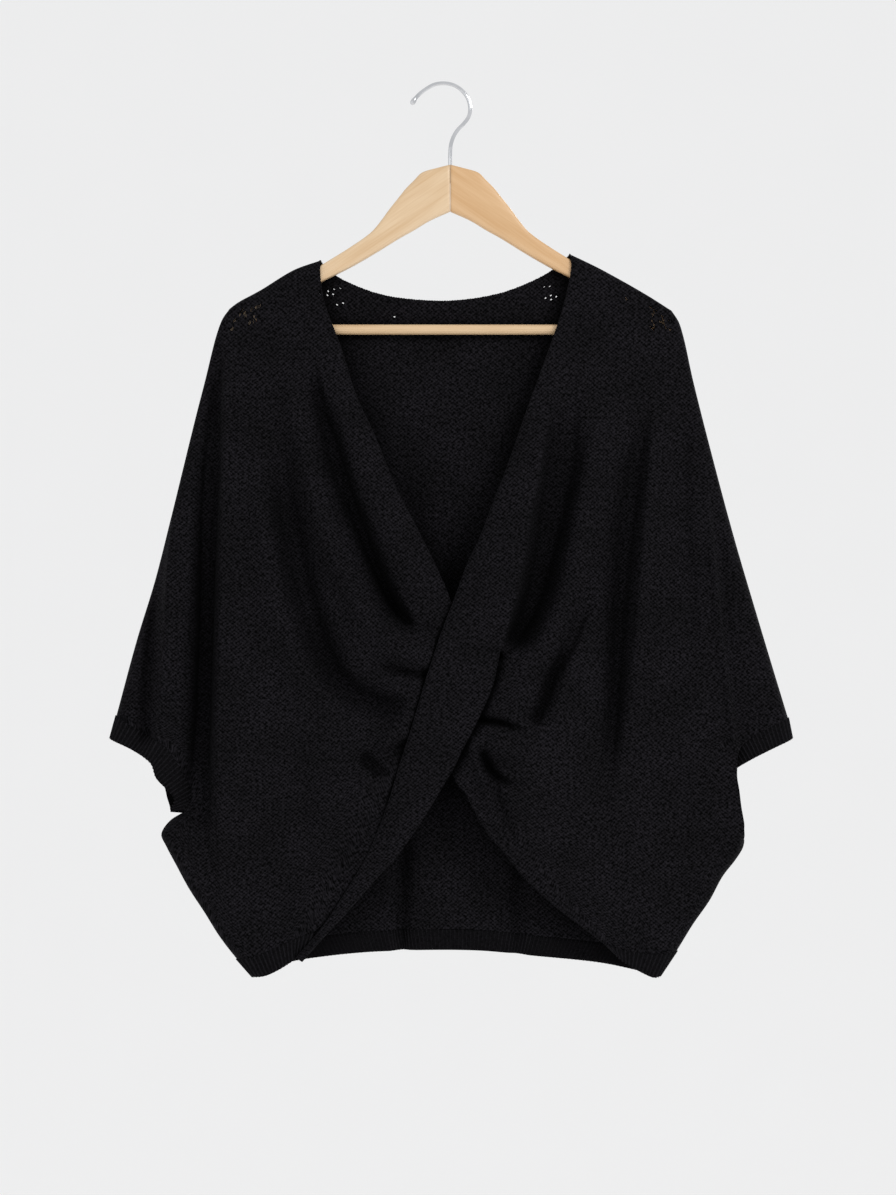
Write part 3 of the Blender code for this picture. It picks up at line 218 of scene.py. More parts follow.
# How the band stands on the cloth below the twist, and the radius of its fold, by height
bandForm = [
    BandForm(-553, 0.8, 0.4), BandForm(-570, 2.6, 1.6), BandForm(-590, 4.6, 2.8), BandForm(-612, 5.2, 3.2),
    BandForm(-680, 5.2, 3.2), BandForm(-700, 5.2, 3.4), BandForm(-820, 5.0, 3.5), BandForm(-860, 3.6, 2.8),
]
band = {
    "topWidth": 8.8, "crown": 1.6, "crownWidth": 30.0,
    "stand": 2.6, "standFrom": 250.0, "standOver": 220.0,
    "slitDrop": 2.2, "slitFade": 8.0, "slitReach": 5.0, "slitSide": 6.0,
    "leastArc": 0.03, "sharedArc": 0.16, "mostArc": 0.45,  # shares of the width that the fold takes up
    "narrowEnd": 1.5, "pastFold": 2.0, "underLooks": 6,
}

# The wearer's right half of the hanger, as its upper and lower edges; the other half mirrors it
armTop = [
    (7, -78), (-5, -81), (-21, -86), (-28, -93), (-36, -101), (-44, -111), (-52, -121), (-60, -132),
    (-68, -142), (-75, -148), (-91, -159), (-107, -169), (-123, -178.5), (-146, -189), (-179, -208),
    (-197, -219), (-208, -230), (-213, -239),
]
armBottom = [
    (7, -124), (-13, -133), (-28, -142), (-44, -151), (-60, -161), (-75, -170), (-91, -179), (-107, -187),
    (-123, -195), (-140, -205), (-160, -217), (-180, -230), (-192, -240), (-200, -247), (-208, -249),
]
hookLine = [
    (-31, -19), (-27.5, -13.5), (-23, -8.6), (-17, -4), (-9, 0.4), (0, 1.9), (10, 0.2), (18.5, -5.2),
    (24.6, -13.5), (26.6, -24), (24.8, -31.5), (20, -38), (14.4, -43.8), (10.3, -50.5), (7.8, -58),
    (7, -68), (7, -80), (7, -96),
]

# Creases placed on top of the larger folds
frontCreases = [
    Fold("rightNeckRoll", -7, 15, 13, 0.25, 0.1, [
        (-114, -248), (-106, -289), (-89, -338), (-72, -387), (-50, -436), (-27, -480), (-11, -505)]),
    Fold("rightNeckCore", 9, 6, 4, 0.16, 0.02, [
        (-128, -262), (-124, -290), (-119, -316), (-113, -338), (-103, -369), (-90, -407), (-75, -451),
        (-57, -493), (-42, -517), (-29, -532)]),
    Fold("rightMiddleRoll", -13, 13, 15, 0.25, 0, [
        (-152, -255), (-146, -309), (-133, -367), (-118, -426), (-100, -475), (-76, -519), (-47, -549),
        (-22, -559)]),
    Fold("rightBodyCrest", -9, 18, 12, 0.3, 0.3, [
        (-184, -338), (-177, -407), (-169, -465), (-157, -524), (-140, -563), (-116, -598), (-81, -622)]),
    Fold("rightLongCore", 8, 13, 9, 0.75, 0.04, [
        (-168, -328), (-158, -377), (-150, -426), (-143, -467), (-133, -507), (-120, -546), (-105, -573),
        (-83, -593), (-57, -605), (-32, -607)]),
    Fold("rightShortCore", 6, 3.5, 3.5, 0.5, 0, [(-74, -567), (-47, -571), (-30, -573), (-17, -575)]),
    Fold("rightKnuckle", -8, 8, 7, 0.2, 0.1, [(-64, -650), (-52, -637), (-40, -620), (-30, -608)]),
    Fold("rightKnuckleDent", 9, 4, 7, 0.3, 0.3, [(-77, -645), (-76, -661), (-64, -671), (-48, -673)]),
    Fold("rightSleeveCrest", -10, 3.5, 13, 0.25, 0.1, [
        (-263, -407), (-267, -465), (-269, -514), (-271, -563), (-274, -612), (-280, -650)]),
    Fold("rightSleeveValley", 9, 8, 5, 0.3, 0, [(-277, -465), (-283, -524), (-287, -583), (-289, -640)]),
    Fold("rightGrooveLip", -10, 12, 4, 0.25, 0.3, [
        (-233, -309), (-235, -367), (-238, -426), (-240, -485), (-242, -554), (-245, -622), (-249, -681),
        (-254, -720)]),
    Fold("rightGrooveCliff", -12, 3.5, 13, 0.12, 0.15, [
        (-212, -258), (-213, -309), (-214, -367), (-216, -416), (-218, -465), (-220, -514), (-222, -603),
        (-224, -652), (-228, -701)]),
    Fold("rightGrooveTop", 9, 7, 5, 0.15, 0.5, [(-219, -252), (-220, -280), (-222, -320), (-225, -370)]),
    Fold("rightUnderBand", 6, 14, 6, 0.3, 0.2, [
        (-32, -647), (-50, -691), (-69, -730), (-91, -769), (-115, -803)]),
    Fold("rightBodyDip", 4, 11, 9, 0.4, 0.4, [(-142, -630), (-137, -701), (-128, -770)]),
    Fold("rightHemCrest", -4, 5, 12, 0.3, 0.3, [(-228, -701), (-222, -750), (-212, -799), (-197, -838)]),
    Fold("leftBandCrest", -8, 11, 3, 0.3, 0.1, bandFoldUpper[3:]),
    Fold("leftBandFloor", 14, 10, 13, 0.3, 0.05, [
        (119, -300), (112, -358), (105, -407), (97, -456), (88, -495), (76, -529), (64, -552)]),
    Fold("leftBandCore", 6, 9, 5, 0.25, 0, [
        (139, -294), (129, -328), (122, -363), (116, -397), (110, -431), (101, -467), (94, -497), (84, -524),
        (71, -546), (58, -556)]),
    Fold("leftMiddleRoll", -7, 7, 16, 0.25, 0.15, [
        (154, -309), (142, -358), (132, -407), (122, -456), (111, -505), (95, -544), (71, -575), (49, -598)]),
    Fold("leftSlantCore", 5, 5, 3, 0.5, 0.05, [
        (139, -505), (126, -532), (117, -554), (108, -578), (102, -600), (91, -624)]),
    Fold("leftSlantCrest", -6, 4, 13, 0.3, 0.3, [(130, -545), (121, -575), (113, -604), (100, -637)]),
    Fold("leftKnotCore", 8, 3, 3, 0, 0.4, [(30, -620), (46, -622), (58, -624), (73, -629), (88, -632)]),
    Fold("leftEdgeCrest", -6, 3.5, 3.5, 0.05, 0.5, [(27, -640), (32, -659), (38, -678), (48, -710), (58, -738)]),
    Fold("leftPocketCore", 8, 4, 3, 0.3, 0.6, [
        (35, -646), (39, -656), (44, -668), (53, -677), (69, -684), (90, -688)]),
    Fold("leftEdgeGroove", 5, 4, 6, 0.1, 0.5, [(44, -676), (53, -701), (63, -725), (77, -750)]),
    Fold("leftPocketBrow", -4, 8, 8, 0.1, 0.4, [(40, -642), (56, -650), (72, -656), (92, -662)]),
    Fold("leftLongCore", 8, 9, 5, 0.12, 0.35, [
        (199, -304), (196, -333), (190, -372), (186, -416), (181, -465), (176, -514), (173, -563), (169, -608),
        (165, -647), (160, -686), (155, -740)]),
    Fold("leftLongCrest", -7, 4, 13, 0.2, 0.3, [
        (208, -309), (203, -358), (198, -416), (193, -475), (188, -544), (181, -622)]),
    Fold("leftOuterDip", 5, 10, 7, 0.3, 0.3, [(236, -289), (235, -358), (236, -426), (240, -505), (246, -593)]),
    Fold("leftDropCrest", -4, 5, 3, 0.3, 0.1, [
        (257, -390), (261, -446), (264, -475), (269, -534), (275, -578), (281, -622), (287, -667)]),
]
backCreases = [
    Fold("backRightHollow", -14, 8, 8, 0.4, 0, [(-40, -700), (-42, -780), (-42, -860)]),
    Fold("backLeftHollow", -12, 8, 8, 0.4, 0, [(80, -720), (76, -790), (74, -860)]),
    Fold("backRightDrape", -8, 16, 9, 0.3, 0.25, [(-150, -250), (-166, -400), (-178, -560), (-176, -720)]),
    Fold("backRightGroove", 7, 7, 10, 0.3, 0.2, [(-176, -260), (-192, -400), (-204, -560), (-202, -720)]),
    Fold("backRightSlant", 6, 8, 12, 0.4, 0.3, [(-118, -240), (-98, -330), (-82, -450), (-78, -600)]),
    Fold("backMiddleDrape", -5, 14, 18, 0.4, 0.3, [(-40, -280), (-34, -420), (-42, -620)]),
    Fold("backLeftSlant", 6, 12, 8, 0.4, 0.3, [(124, -240), (106, -340), (92, -470), (96, -620)]),
    Fold("backLeftDrape", -9, 9, 16, 0.3, 0.25, [(158, -250), (176, -400), (190, -560), (196, -720)]),
    Fold("backLeftGroove", 7, 11, 7, 0.3, 0.2, [(186, -266), (204, -400), (218, -560), (222, -700)]),
    Fold("backRightSleeveCrest", -6, 8, 8, 0.3, 0.1, [(-236, -340), (-258, -460), (-276, -580)]),
    Fold("backLeftSleeveCrest", -6, 8, 8, 0.3, 0.1, [(246, -340), (272, -460), (294, -580)]),
]

# Stitches stretched open into small holes over the hanger's ends and along the back neck
EyeletArea = namedtuple("EyeletArea", "across height wide tall count")
eyeletAreas = [
    EyeletArea(-196, -222, 40, 24, 26), EyeletArea(-211, -238, 12, 14, 6), EyeletArea(214, -228, 28, 32, 34),
    EyeletArea(190, -207, 30, 10, 6), EyeletArea(-104, -204, 34, 26, 34), EyeletArea(106, -203, 16, 22, 12),
    EyeletArea(-40, -226, 90, 34, 2),
]
eyelet = {"reach": 1.2, "frontOpening": 0.85, "backOpening": 0.28, "seed": 5}


def ramp(value):
    value = np.clip(value, 0.0, 1.0)
    return value * value * (3 - 2 * value)


def along(points, fractions):
    # places at these shares of the length of a smooth curve through the points
    points = np.asarray(points, float)
    knots = np.concatenate([[0], np.cumsum(np.linalg.norm(np.diff(points, axis=0), axis=1) ** 0.5)])
    slopes = np.gradient(points, knots, axis=0)
    fine = np.linspace(0, knots[-1], curvePoints * len(points))
    piece = np.clip(np.searchsorted(knots, fine, side="right") - 1, 0, len(points) - 2)
    span = (knots[piece + 1] - knots[piece])[:, None]
    t = (fine - knots[piece])[:, None] / span
    curve = (
        (2 * t**3 - 3 * t**2 + 1) * points[piece]
        + (t**3 - 2 * t**2 + t) * span * slopes[piece]
        + (3 * t**2 - 2 * t**3) * points[piece + 1]
        + (t**3 - t**2) * span * slopes[piece + 1]
    )
    length = np.concatenate([[0], np.cumsum(np.linalg.norm(np.diff(curve, axis=0), axis=1))])
    wanted = np.asarray(fractions, float) * length[-1]
    return np.stack([np.interp(wanted, length, curve[:, k]) for k in range(points.shape[1])], axis=1)


def pathLength(points):
    return np.linalg.norm(np.diff(along(points, np.linspace(0, 1, edgePoints)), axis=0), axis=1).sum()


def nearest(x, z, path):
    # distance to a path, the side (positive on the viewer's right of one that runs down), the share along it
    places = np.stack([np.ravel(x), np.ravel(z)], axis=1)[:, None, :]
    path = np.asarray(path, float)
    step = np.diff(path, axis=0)
    size = np.linalg.norm(step, axis=1)
    off = places - path[None, :-1]
    share = np.clip((off * step).sum(axis=2) / size**2, 0, 1)
    gap = np.linalg.norm(off - share[..., None] * step, axis=2)
    best = gap.argmin(axis=1)
    rows = np.arange(len(best))
    turn = step[best, 0] * off[rows, best, 1] - step[best, 1] * off[rows, best, 0]
    walked = np.concatenate([[0], np.cumsum(size)])[best] + share[rows, best] * size[best]
    shape = np.shape(x)
    return gap[rows, best].reshape(shape), np.sign(turn).reshape(shape), (walked / size.sum()).reshape(shape)


def foldSum(x, z, folds):
    total = np.zeros(np.shape(x))
    for fold in folds:
        gap, side, share = nearest(x, z, fold.path)
        width = np.where(side > 0, fold.right, fold.left)
        fade = np.ones(np.shape(x))
        if fold.start:
            fade = fade * ramp(share / fold.start)
        if fold.end:
            fade = fade * ramp((1 - share) / fold.end)
        total -= fold.depth * fade * np.exp(-((gap / width) ** 2))
    return total


def form(x, z, table):
    # how far the cloth stands out before any folds
    heights = [-row.height for row in table]
    edge = np.interp(-z, heights, [row.edge for row in table])
    middle = np.interp(-z, heights, [row.centre for row in table])
    inwards = ramp((edgeReach - np.abs(x - centre)) / (edgeReach - centreReach))
    return edge + (middle - edge) * inwards


def rimGap(x, z, rims):
    # distance to the nearest seam between front and back, right only near a seam
    spots = np.stack([np.ravel(x), np.ravel(z)], axis=1)
    reach = cloth["rounding"] + rimMargin
    gap = np.full(len(spots), reach)
    for rim in rims:
        rim = np.asarray(rim, float)
        for start in range(0, len(rim) - 1, rimStretch):
            piece = rim[start:start + rimStretch + 1]
            near = ((spots > piece.min(axis=0) - reach) & (spots < piece.max(axis=0) + reach)).all(axis=1)
            if near.any():
                gap[near] = np.minimum(gap[near], nearest(spots[near, 0], spots[near, 1], piece)[0])
    return np.maximum(gap.reshape(np.shape(x)) - rimSlack, 0)


def rounded(x, z, rims):
    # falls to 0 where front and back meet, as a quarter round
    return np.sqrt(1 - (1 - np.clip(rimGap(x, z, rims) / cloth["rounding"], 0, 1)) ** 2)


def rimLines(paths):
    return [along(path, np.linspace(0, 1, rimPoints)) for path in paths]


sharedRims = rimLines([rightShoulder, rightSleeve, rightSide, leftShoulder, leftSleeve])
frontRims = sharedRims + rimLines([leftSide])
backRims = sharedRims + rimLines([leftCuffTopBack[-1:] + leftSide])
rightCuffRims = [[rightSleeve[-1], rightCuffEdge[0]], [rightCuffTop[-1], rightCuffEdge[-1]]]
leftCuffRims = [[leftSleeve[-1], leftCuffEdge[0]], [leftCuffHidden[-1], leftCuffEdge[-1]]]


def settled(depth):
    # the floor of a deep fold rounds off before it reaches the middle plane
    least, soft = cloth["leastDepth"], cloth["floorSoftness"]
    return least + soft * np.logaddexp(0, (depth - least) / soft)


def frontDepth(x, z):
    leftGap, fromLeft, _ = nearest(x, z, bandEdgeUpper + bandEdgeLower[1:])
    rightGap, fromRight, _ = nearest(x, z, bandFoldUpper + bandFoldLower[1:])
    before = ramp((leftGap * fromLeft + pressed["before"]) / pressed["fade"])
    past = ramp((pressed["past"] - rightGap * fromRight) / pressed["fade"])
    under = pressed["depth"] * (before * past) * ramp((pressed["top"] - z) / pressed["topFade"])
    return settled(form(x, z, frontForm) + foldSum(x, z, frontFolds + frontCreases) - under)


def backDepth(x, z):
    return settled(form(x, z, backForm) + foldSum(x, z, backFolds + backCreases))


def frontLift(x, z):
    return halfSeam + frontDepth(x, z) * rounded(x, z, frontRims)


def stretches(parts, firstSteps=()):
    # places down one edge of a panel; each part is a path and its number of rows
    places = [np.asarray(parts[0][0][0], float)[None]]
    for number, (path, rows) in enumerate(parts):
        steps = [step / pathLength(path) for step in firstSteps] if number == 0 else []
        start = steps[-1] if steps else 0
        fractions = steps + list(np.linspace(start, 1, rows - len(steps) + 1)[1:])
        places.append(along(path, fractions))
    return np.concatenate(places)


def spread(widths, columns, firstSteps, lastSteps, guides, finer):
    # shares across each row, close together at a seam and along guides, which are (column, shares)
    rows = []
    for row, width in enumerate(widths):
        fixed = {0: 0.0, columns: 1.0}
        for number, step in enumerate(firstSteps, 1):
            fixed[number] = min(step / width, panels["mostStep"] * number)
        for number, step in enumerate(lastSteps, 1):
            fixed[columns - number] = 1 - min(step / width, panels["mostStep"] * number)
        before, after = len(firstSteps), columns - len(lastSteps)
        for column, shares in guides:
            low = fixed[before] + panels["leastShare"] * (column - before)
            high = fixed[after] - panels["leastShare"] * (after - column)
            fixed[column] = min(max(shares[row], low), high)
            before = column
        known = sorted(fixed)
        rows.append(np.interp(np.arange(columns * finer + 1) / finer, known, [fixed[k] for k in known]))
    return np.array(rows)


def foldGuides(table, name, left, right):
    # where lines beside a fold cross each row, kept within the limits of the table
    path = np.asarray(next(fold.path for fold in frontFolds if fold.name == name), float)
    guides = []
    for guide in table:
        x = np.interp(-left[:, 1], -path[:, 1], path[:, 0] + guide.offset)
        guides.append((guide.column, np.clip((x - left[:, 0]) / (right[:, 0] - left[:, 0]), guide.low, guide.high)))
    return guides


def fill(top, bottom, left, right, across):
    # places between four edges; top is one place for each column
    down = np.linspace(0, 1, len(left))[:, None, None]
    u = across[..., None]
    topLine = top[None] - (1 - u[:1]) * left[:1, None] - u[:1] * right[:1, None]
    lowLine = along(bottom, across[-1])[None] - (1 - u[-1:]) * left[-1:, None] - u[-1:] * right[-1:, None]
    return (1 - u) * left[:, None] + u * right[:, None] + (1 - down) ** 2 * topLine + down**3 * lowLine


def lifted(places, lift, sign=-1.0):
    # points in space; sign -1 puts them in front of the middle plane
    return np.stack([places[..., 0], sign * lift, places[..., 1]], axis=-1)


def inset(places, rims):
    # moves places near a rim inwards, where the inner side of a rounded seam lies
    def gap(spots):
        return rimGap(spots[..., 0], spots[..., 1], rims)

    across, down = cloth["lookInwards"]
    inside = places + np.stack(
        [across * np.sign(centre - places[..., 0]), np.full(places.shape[:-1], down)], axis=-1)
    around = np.eye(2) * cloth["lookAround"]
    slope = np.stack([gap(inside + step) - gap(inside - step) for step in around], axis=-1)
    slope /= np.maximum(np.linalg.norm(slope, axis=-1), 0.001)[..., None]
    return places + slope * (cloth["wall"] * np.clip(1 - gap(places) / cloth["rounding"], 0, 1))[..., None]


def bothSides(places, depth, rims, sign=-1.0):
    # outer and inner points of a sheet with this depth, rounded off at the rims
    points = lifted(places, depth)
    normal = np.cross(np.gradient(points, axis=0), np.gradient(points, axis=1))
    upright = np.abs(normal[..., 1]) / np.maximum(np.linalg.norm(normal, axis=-1), 1e-9)
    wall = np.minimum(cloth["wall"] / np.maximum(upright, 1 / cloth["steepest"]), depth - cloth["leastInner"])
    roundOff = rounded(places[..., 0], places[..., 1], rims)
    outer = lifted(places, halfSeam + depth * roundOff, sign)
    inner = lifted(inset(places, rims), halfSeam + (depth - wall) * roundOff, sign)
    return outer, inner


def clothMap(points):
    # where each point lies on the flat cloth; a steep stretch takes up more of it, within a limit
    flat = points[..., [0, 2]]
    extra = []
    for axis in (1, 0):
        real = np.linalg.norm(np.diff(points, axis=axis), axis=-1)
        seen = np.linalg.norm(np.diff(flat, axis=axis), axis=-1)
        more = np.cumsum(np.minimum(real - seen, cloth["mostExtra"] * seen), axis=axis)
        start = np.zeros_like(more[:, :1] if axis == 1 else more[:1])
        extra.append(np.concatenate([start, more], axis=axis))
    return np.stack([flat[..., 0] + extra[0], extra[1] - flat[..., 1]], axis=-1)


def makeObject(name, points, faces, corners, material):
    # corners holds a place on the flat cloth for each corner of each face
    mesh = bpy.data.meshes.new(name)
    mesh.from_pydata((points * mm).tolist(), [], faces)
    if corners is not None:
        layer = mesh.uv_layers.new(name="clothPlace")
        layer.data.foreach_set("uv", (np.asarray(corners) * mm).ravel())
    mesh.materials.append(material)
    mesh.shade_smooth()
    obj = bpy.data.objects.new(name, mesh)
    bpy.context.scene.collection.objects.link(obj)
    return obj


def gridFaces(rows, columns):
    corner = (np.arange(rows - 1)[:, None] * columns + np.arange(columns - 1)[None]).ravel()
    return np.stack([corner, corner + columns, corner + columns + 1, corner + 1], axis=1)


def clothShell(name, sheets, material, turned=False, holes=eyelet["frontOpening"]):
    # a closed thin wall from pairs of outer and inner grids, joined where outer points coincide
    outer, inner, flat, faces = [], [], [], []
    for outerGrid, innerGrid in sheets:
        faces.append(gridFaces(*outerGrid.shape[:2]) + sum(len(part) for part in outer))
        outer.append(outerGrid.reshape(-1, 3))
        inner.append(innerGrid.reshape(-1, 3))
        flat.append(clothMap(outerGrid).reshape(-1, 2))
    outer, inner, flat, faces = [np.concatenate(part) for part in (outer, inner, flat, faces)]
    if turned:
        faces = faces[:, ::-1]
    middle = outer[faces].mean(axis=1)
    chosen = eyelets(middle[:, 0], middle[:, 2])
    kept, opened = faces[~chosen], faces[chosen]
    first = len(outer) + 4 * np.arange(len(opened))[:, None] + np.arange(4)
    grids = []
    for grid in (outer, inner, flat):
        centres = grid[opened].mean(axis=1, keepdims=True)
        shrunk = centres + holes * (grid[opened] - centres)
        grids.append(np.concatenate([grid, shrunk.reshape(-1, grid.shape[1])]))
    outer, inner, flat = grids
    rims = [np.stack([opened[:, k], opened[:, (k + 1) % 4], first[:, (k + 1) % 4], first[:, k]], axis=1)
            for k in range(4)]
    faces = np.concatenate([kept, *rims])
    _, first, index = np.unique(np.round(outer, 4), axis=0, return_index=True, return_inverse=True)
    index = index.reshape(-1)
    count = len(first)
    shapes, corners, edges = [], [], {}
    for face in faces:
        kept, places = [], []
        for point in face:
            if index[point] not in kept:
                kept.append(int(index[point]))
                places.append(flat[point])
        if len(kept) < 3:
            continue
        shapes.append(kept)
        corners += places
        shapes.append([point + count for point in reversed(kept)])
        corners += reversed(places)
        for k, start in enumerate(kept):
            end = kept[(k + 1) % len(kept)]
            if (end, start) in edges:
                del edges[(end, start)]
            else:
                edges[(start, end)] = (places[k], places[(k + 1) % len(kept)])
    for (start, end), (placeStart, placeEnd) in edges.items():
        shapes.append([end, start, start + count, end + count])
        corners += [placeEnd, placeStart, placeStart, placeEnd]
    return makeObject(name, np.concatenate([outer[first], inner[first]]), shapes, corners, material)


# The three panels: rows and columns of their grids, and how much finer they are divided
panels = {
    "edgeSteps": (1.4, 4.0, 8.0, 14.0),  # columns close to a seam
    "firstRows": (0.4, 0.9, 1.4, 2.2, 3.1, 4.0, 5.3, 6.6, 8.0, 10.0, 12.0, 14.0),
    "rightRows": (16, 6, 9), "rightColumns": 27, "rightFiner": (7, 7),
    "leftRows": (19, 4, 5, 9), "leftColumns": 24, "leftFiner": (7, 6),
    "backRows": (13, 4, 7), "backColumns": 28, "backFiner": (9, 7), "backShoulder": 7,
    "slitRows": 4, "bandRows": 16, "turnedRows": 12, "bandColumns": 14, "arcColumns": 8, "behindColumns": 6,
    "leastShare": 0.002, "mostStep": 0.02, "evenedRows": 5,
}

# Columns of points that follow the steep sides of a fold
Guide = namedtuple("Guide", "column offset low high")
rightGuides = [Guide(7, -11, 0.055, 0.45), Guide(9, 0, 0.07, 0.5), Guide(11, 10, 0.1, 0.55)]
leftGuides = [Guide(17, -9, 0.5, 0.86), Guide(18, 0, 0.55, 0.9), Guide(19, 5, 0.6, 0.93)]


def eyeletSpots():
    # places picked inside each oval area with a fixed seed, the same for the front and the back
    random = np.random.default_rng(eyelet["seed"])
    spots = []
    for spot in eyeletAreas:
        turn, out = random.uniform(0, 2 * math.pi, spot.count), 0.5 * np.sqrt(random.uniform(0, 1, spot.count))
        spots.append(np.column_stack([
            spot.across + spot.wide * out * np.cos(turn), spot.height + spot.tall * out * np.sin(turn)]))
    return np.concatenate(spots)


def eyelets(x, z):
    gaps = [np.hypot(x - across, z - height) for across, height in eyeletSpots()]
    return np.min(gaps, axis=0) < eyelet["reach"]


def frontRight(material):
    rowsFiner, columnsFiner = panels["rightFiner"]
    half = cloth["hiddenSeamGap"] / 2
    behind = [(x - half, z) for x, z in tuckSeam]
    turned = [(x - half, z) for x, z in turnSeam]
    upper = neckEdge + neckHidden + behind[:4]
    middle = behind[3:] + turned[:3]
    lower = turned[2:-2] + [rightHemTop[-1]]
    rows = [count * rowsFiner for count in panels["rightRows"]]
    left = stretches(list(zip([rightSleeve, rightCuffTop, rightSide[:-1]], rows)), panels["firstRows"])
    right = stretches(list(zip([upper, middle, lower], rows)), panels["firstRows"])
    widths = np.linalg.norm(right - left, axis=1)
    guides = foldGuides(rightGuides, "rightGroove", left, right)
    across = spread(widths, panels["rightColumns"], panels["edgeSteps"], (), guides, columnsFiner)
    places = fill(along(rightShoulder, across[0]), rightHemTop, left, right, across)
    sheet = bothSides(places, frontDepth(places[..., 0], places[..., 1]), frontRims)
    return clothShell("rightFrontCloth", [sheet], material), sheet


def bandLowerRows(rows):
    # the band's edge and fold below the twist, with the depth of its top and the radius of its fold
    shares = np.linspace(0, 1, rows + 1)[1:]
    edge = along(bandEdgeLower, shares)
    fold = along(bandFoldLower, shares)
    heights = [-row.height for row in bandForm]
    rise = np.interp(-fold[:, 1], heights, [row.rise for row in bandForm])
    turn = np.interp(-fold[:, 1], heights, [row.turn for row in bandForm])
    seam = np.array([bandFoldLower[0]] + tuckSeam + turnSeam, float)
    seamX = np.interp(-fold[:, 1], -seam[:, 1], seam[:, 0])
    shares = np.linspace(0, 1, band["underLooks"])[:, None]
    across = seamX + shares * (fold[:, 0] + band["pastFold"] - seamX)
    under = frontDepth(across, np.broadcast_to(fold[:, 1], across.shape)).max(axis=0)
    return edge, fold, evened(under) + rise, turn


def evened(values):
    # a smooth line that never falls below the given one
    reach = panels["evenedRows"]
    windows = np.lib.stride_tricks.sliding_window_view
    highest = windows(np.pad(values, reach, mode="edge"), 2 * reach + 1).max(axis=1)
    return windows(np.pad(highest, reach, mode="edge"), 2 * reach + 1).mean(axis=1)


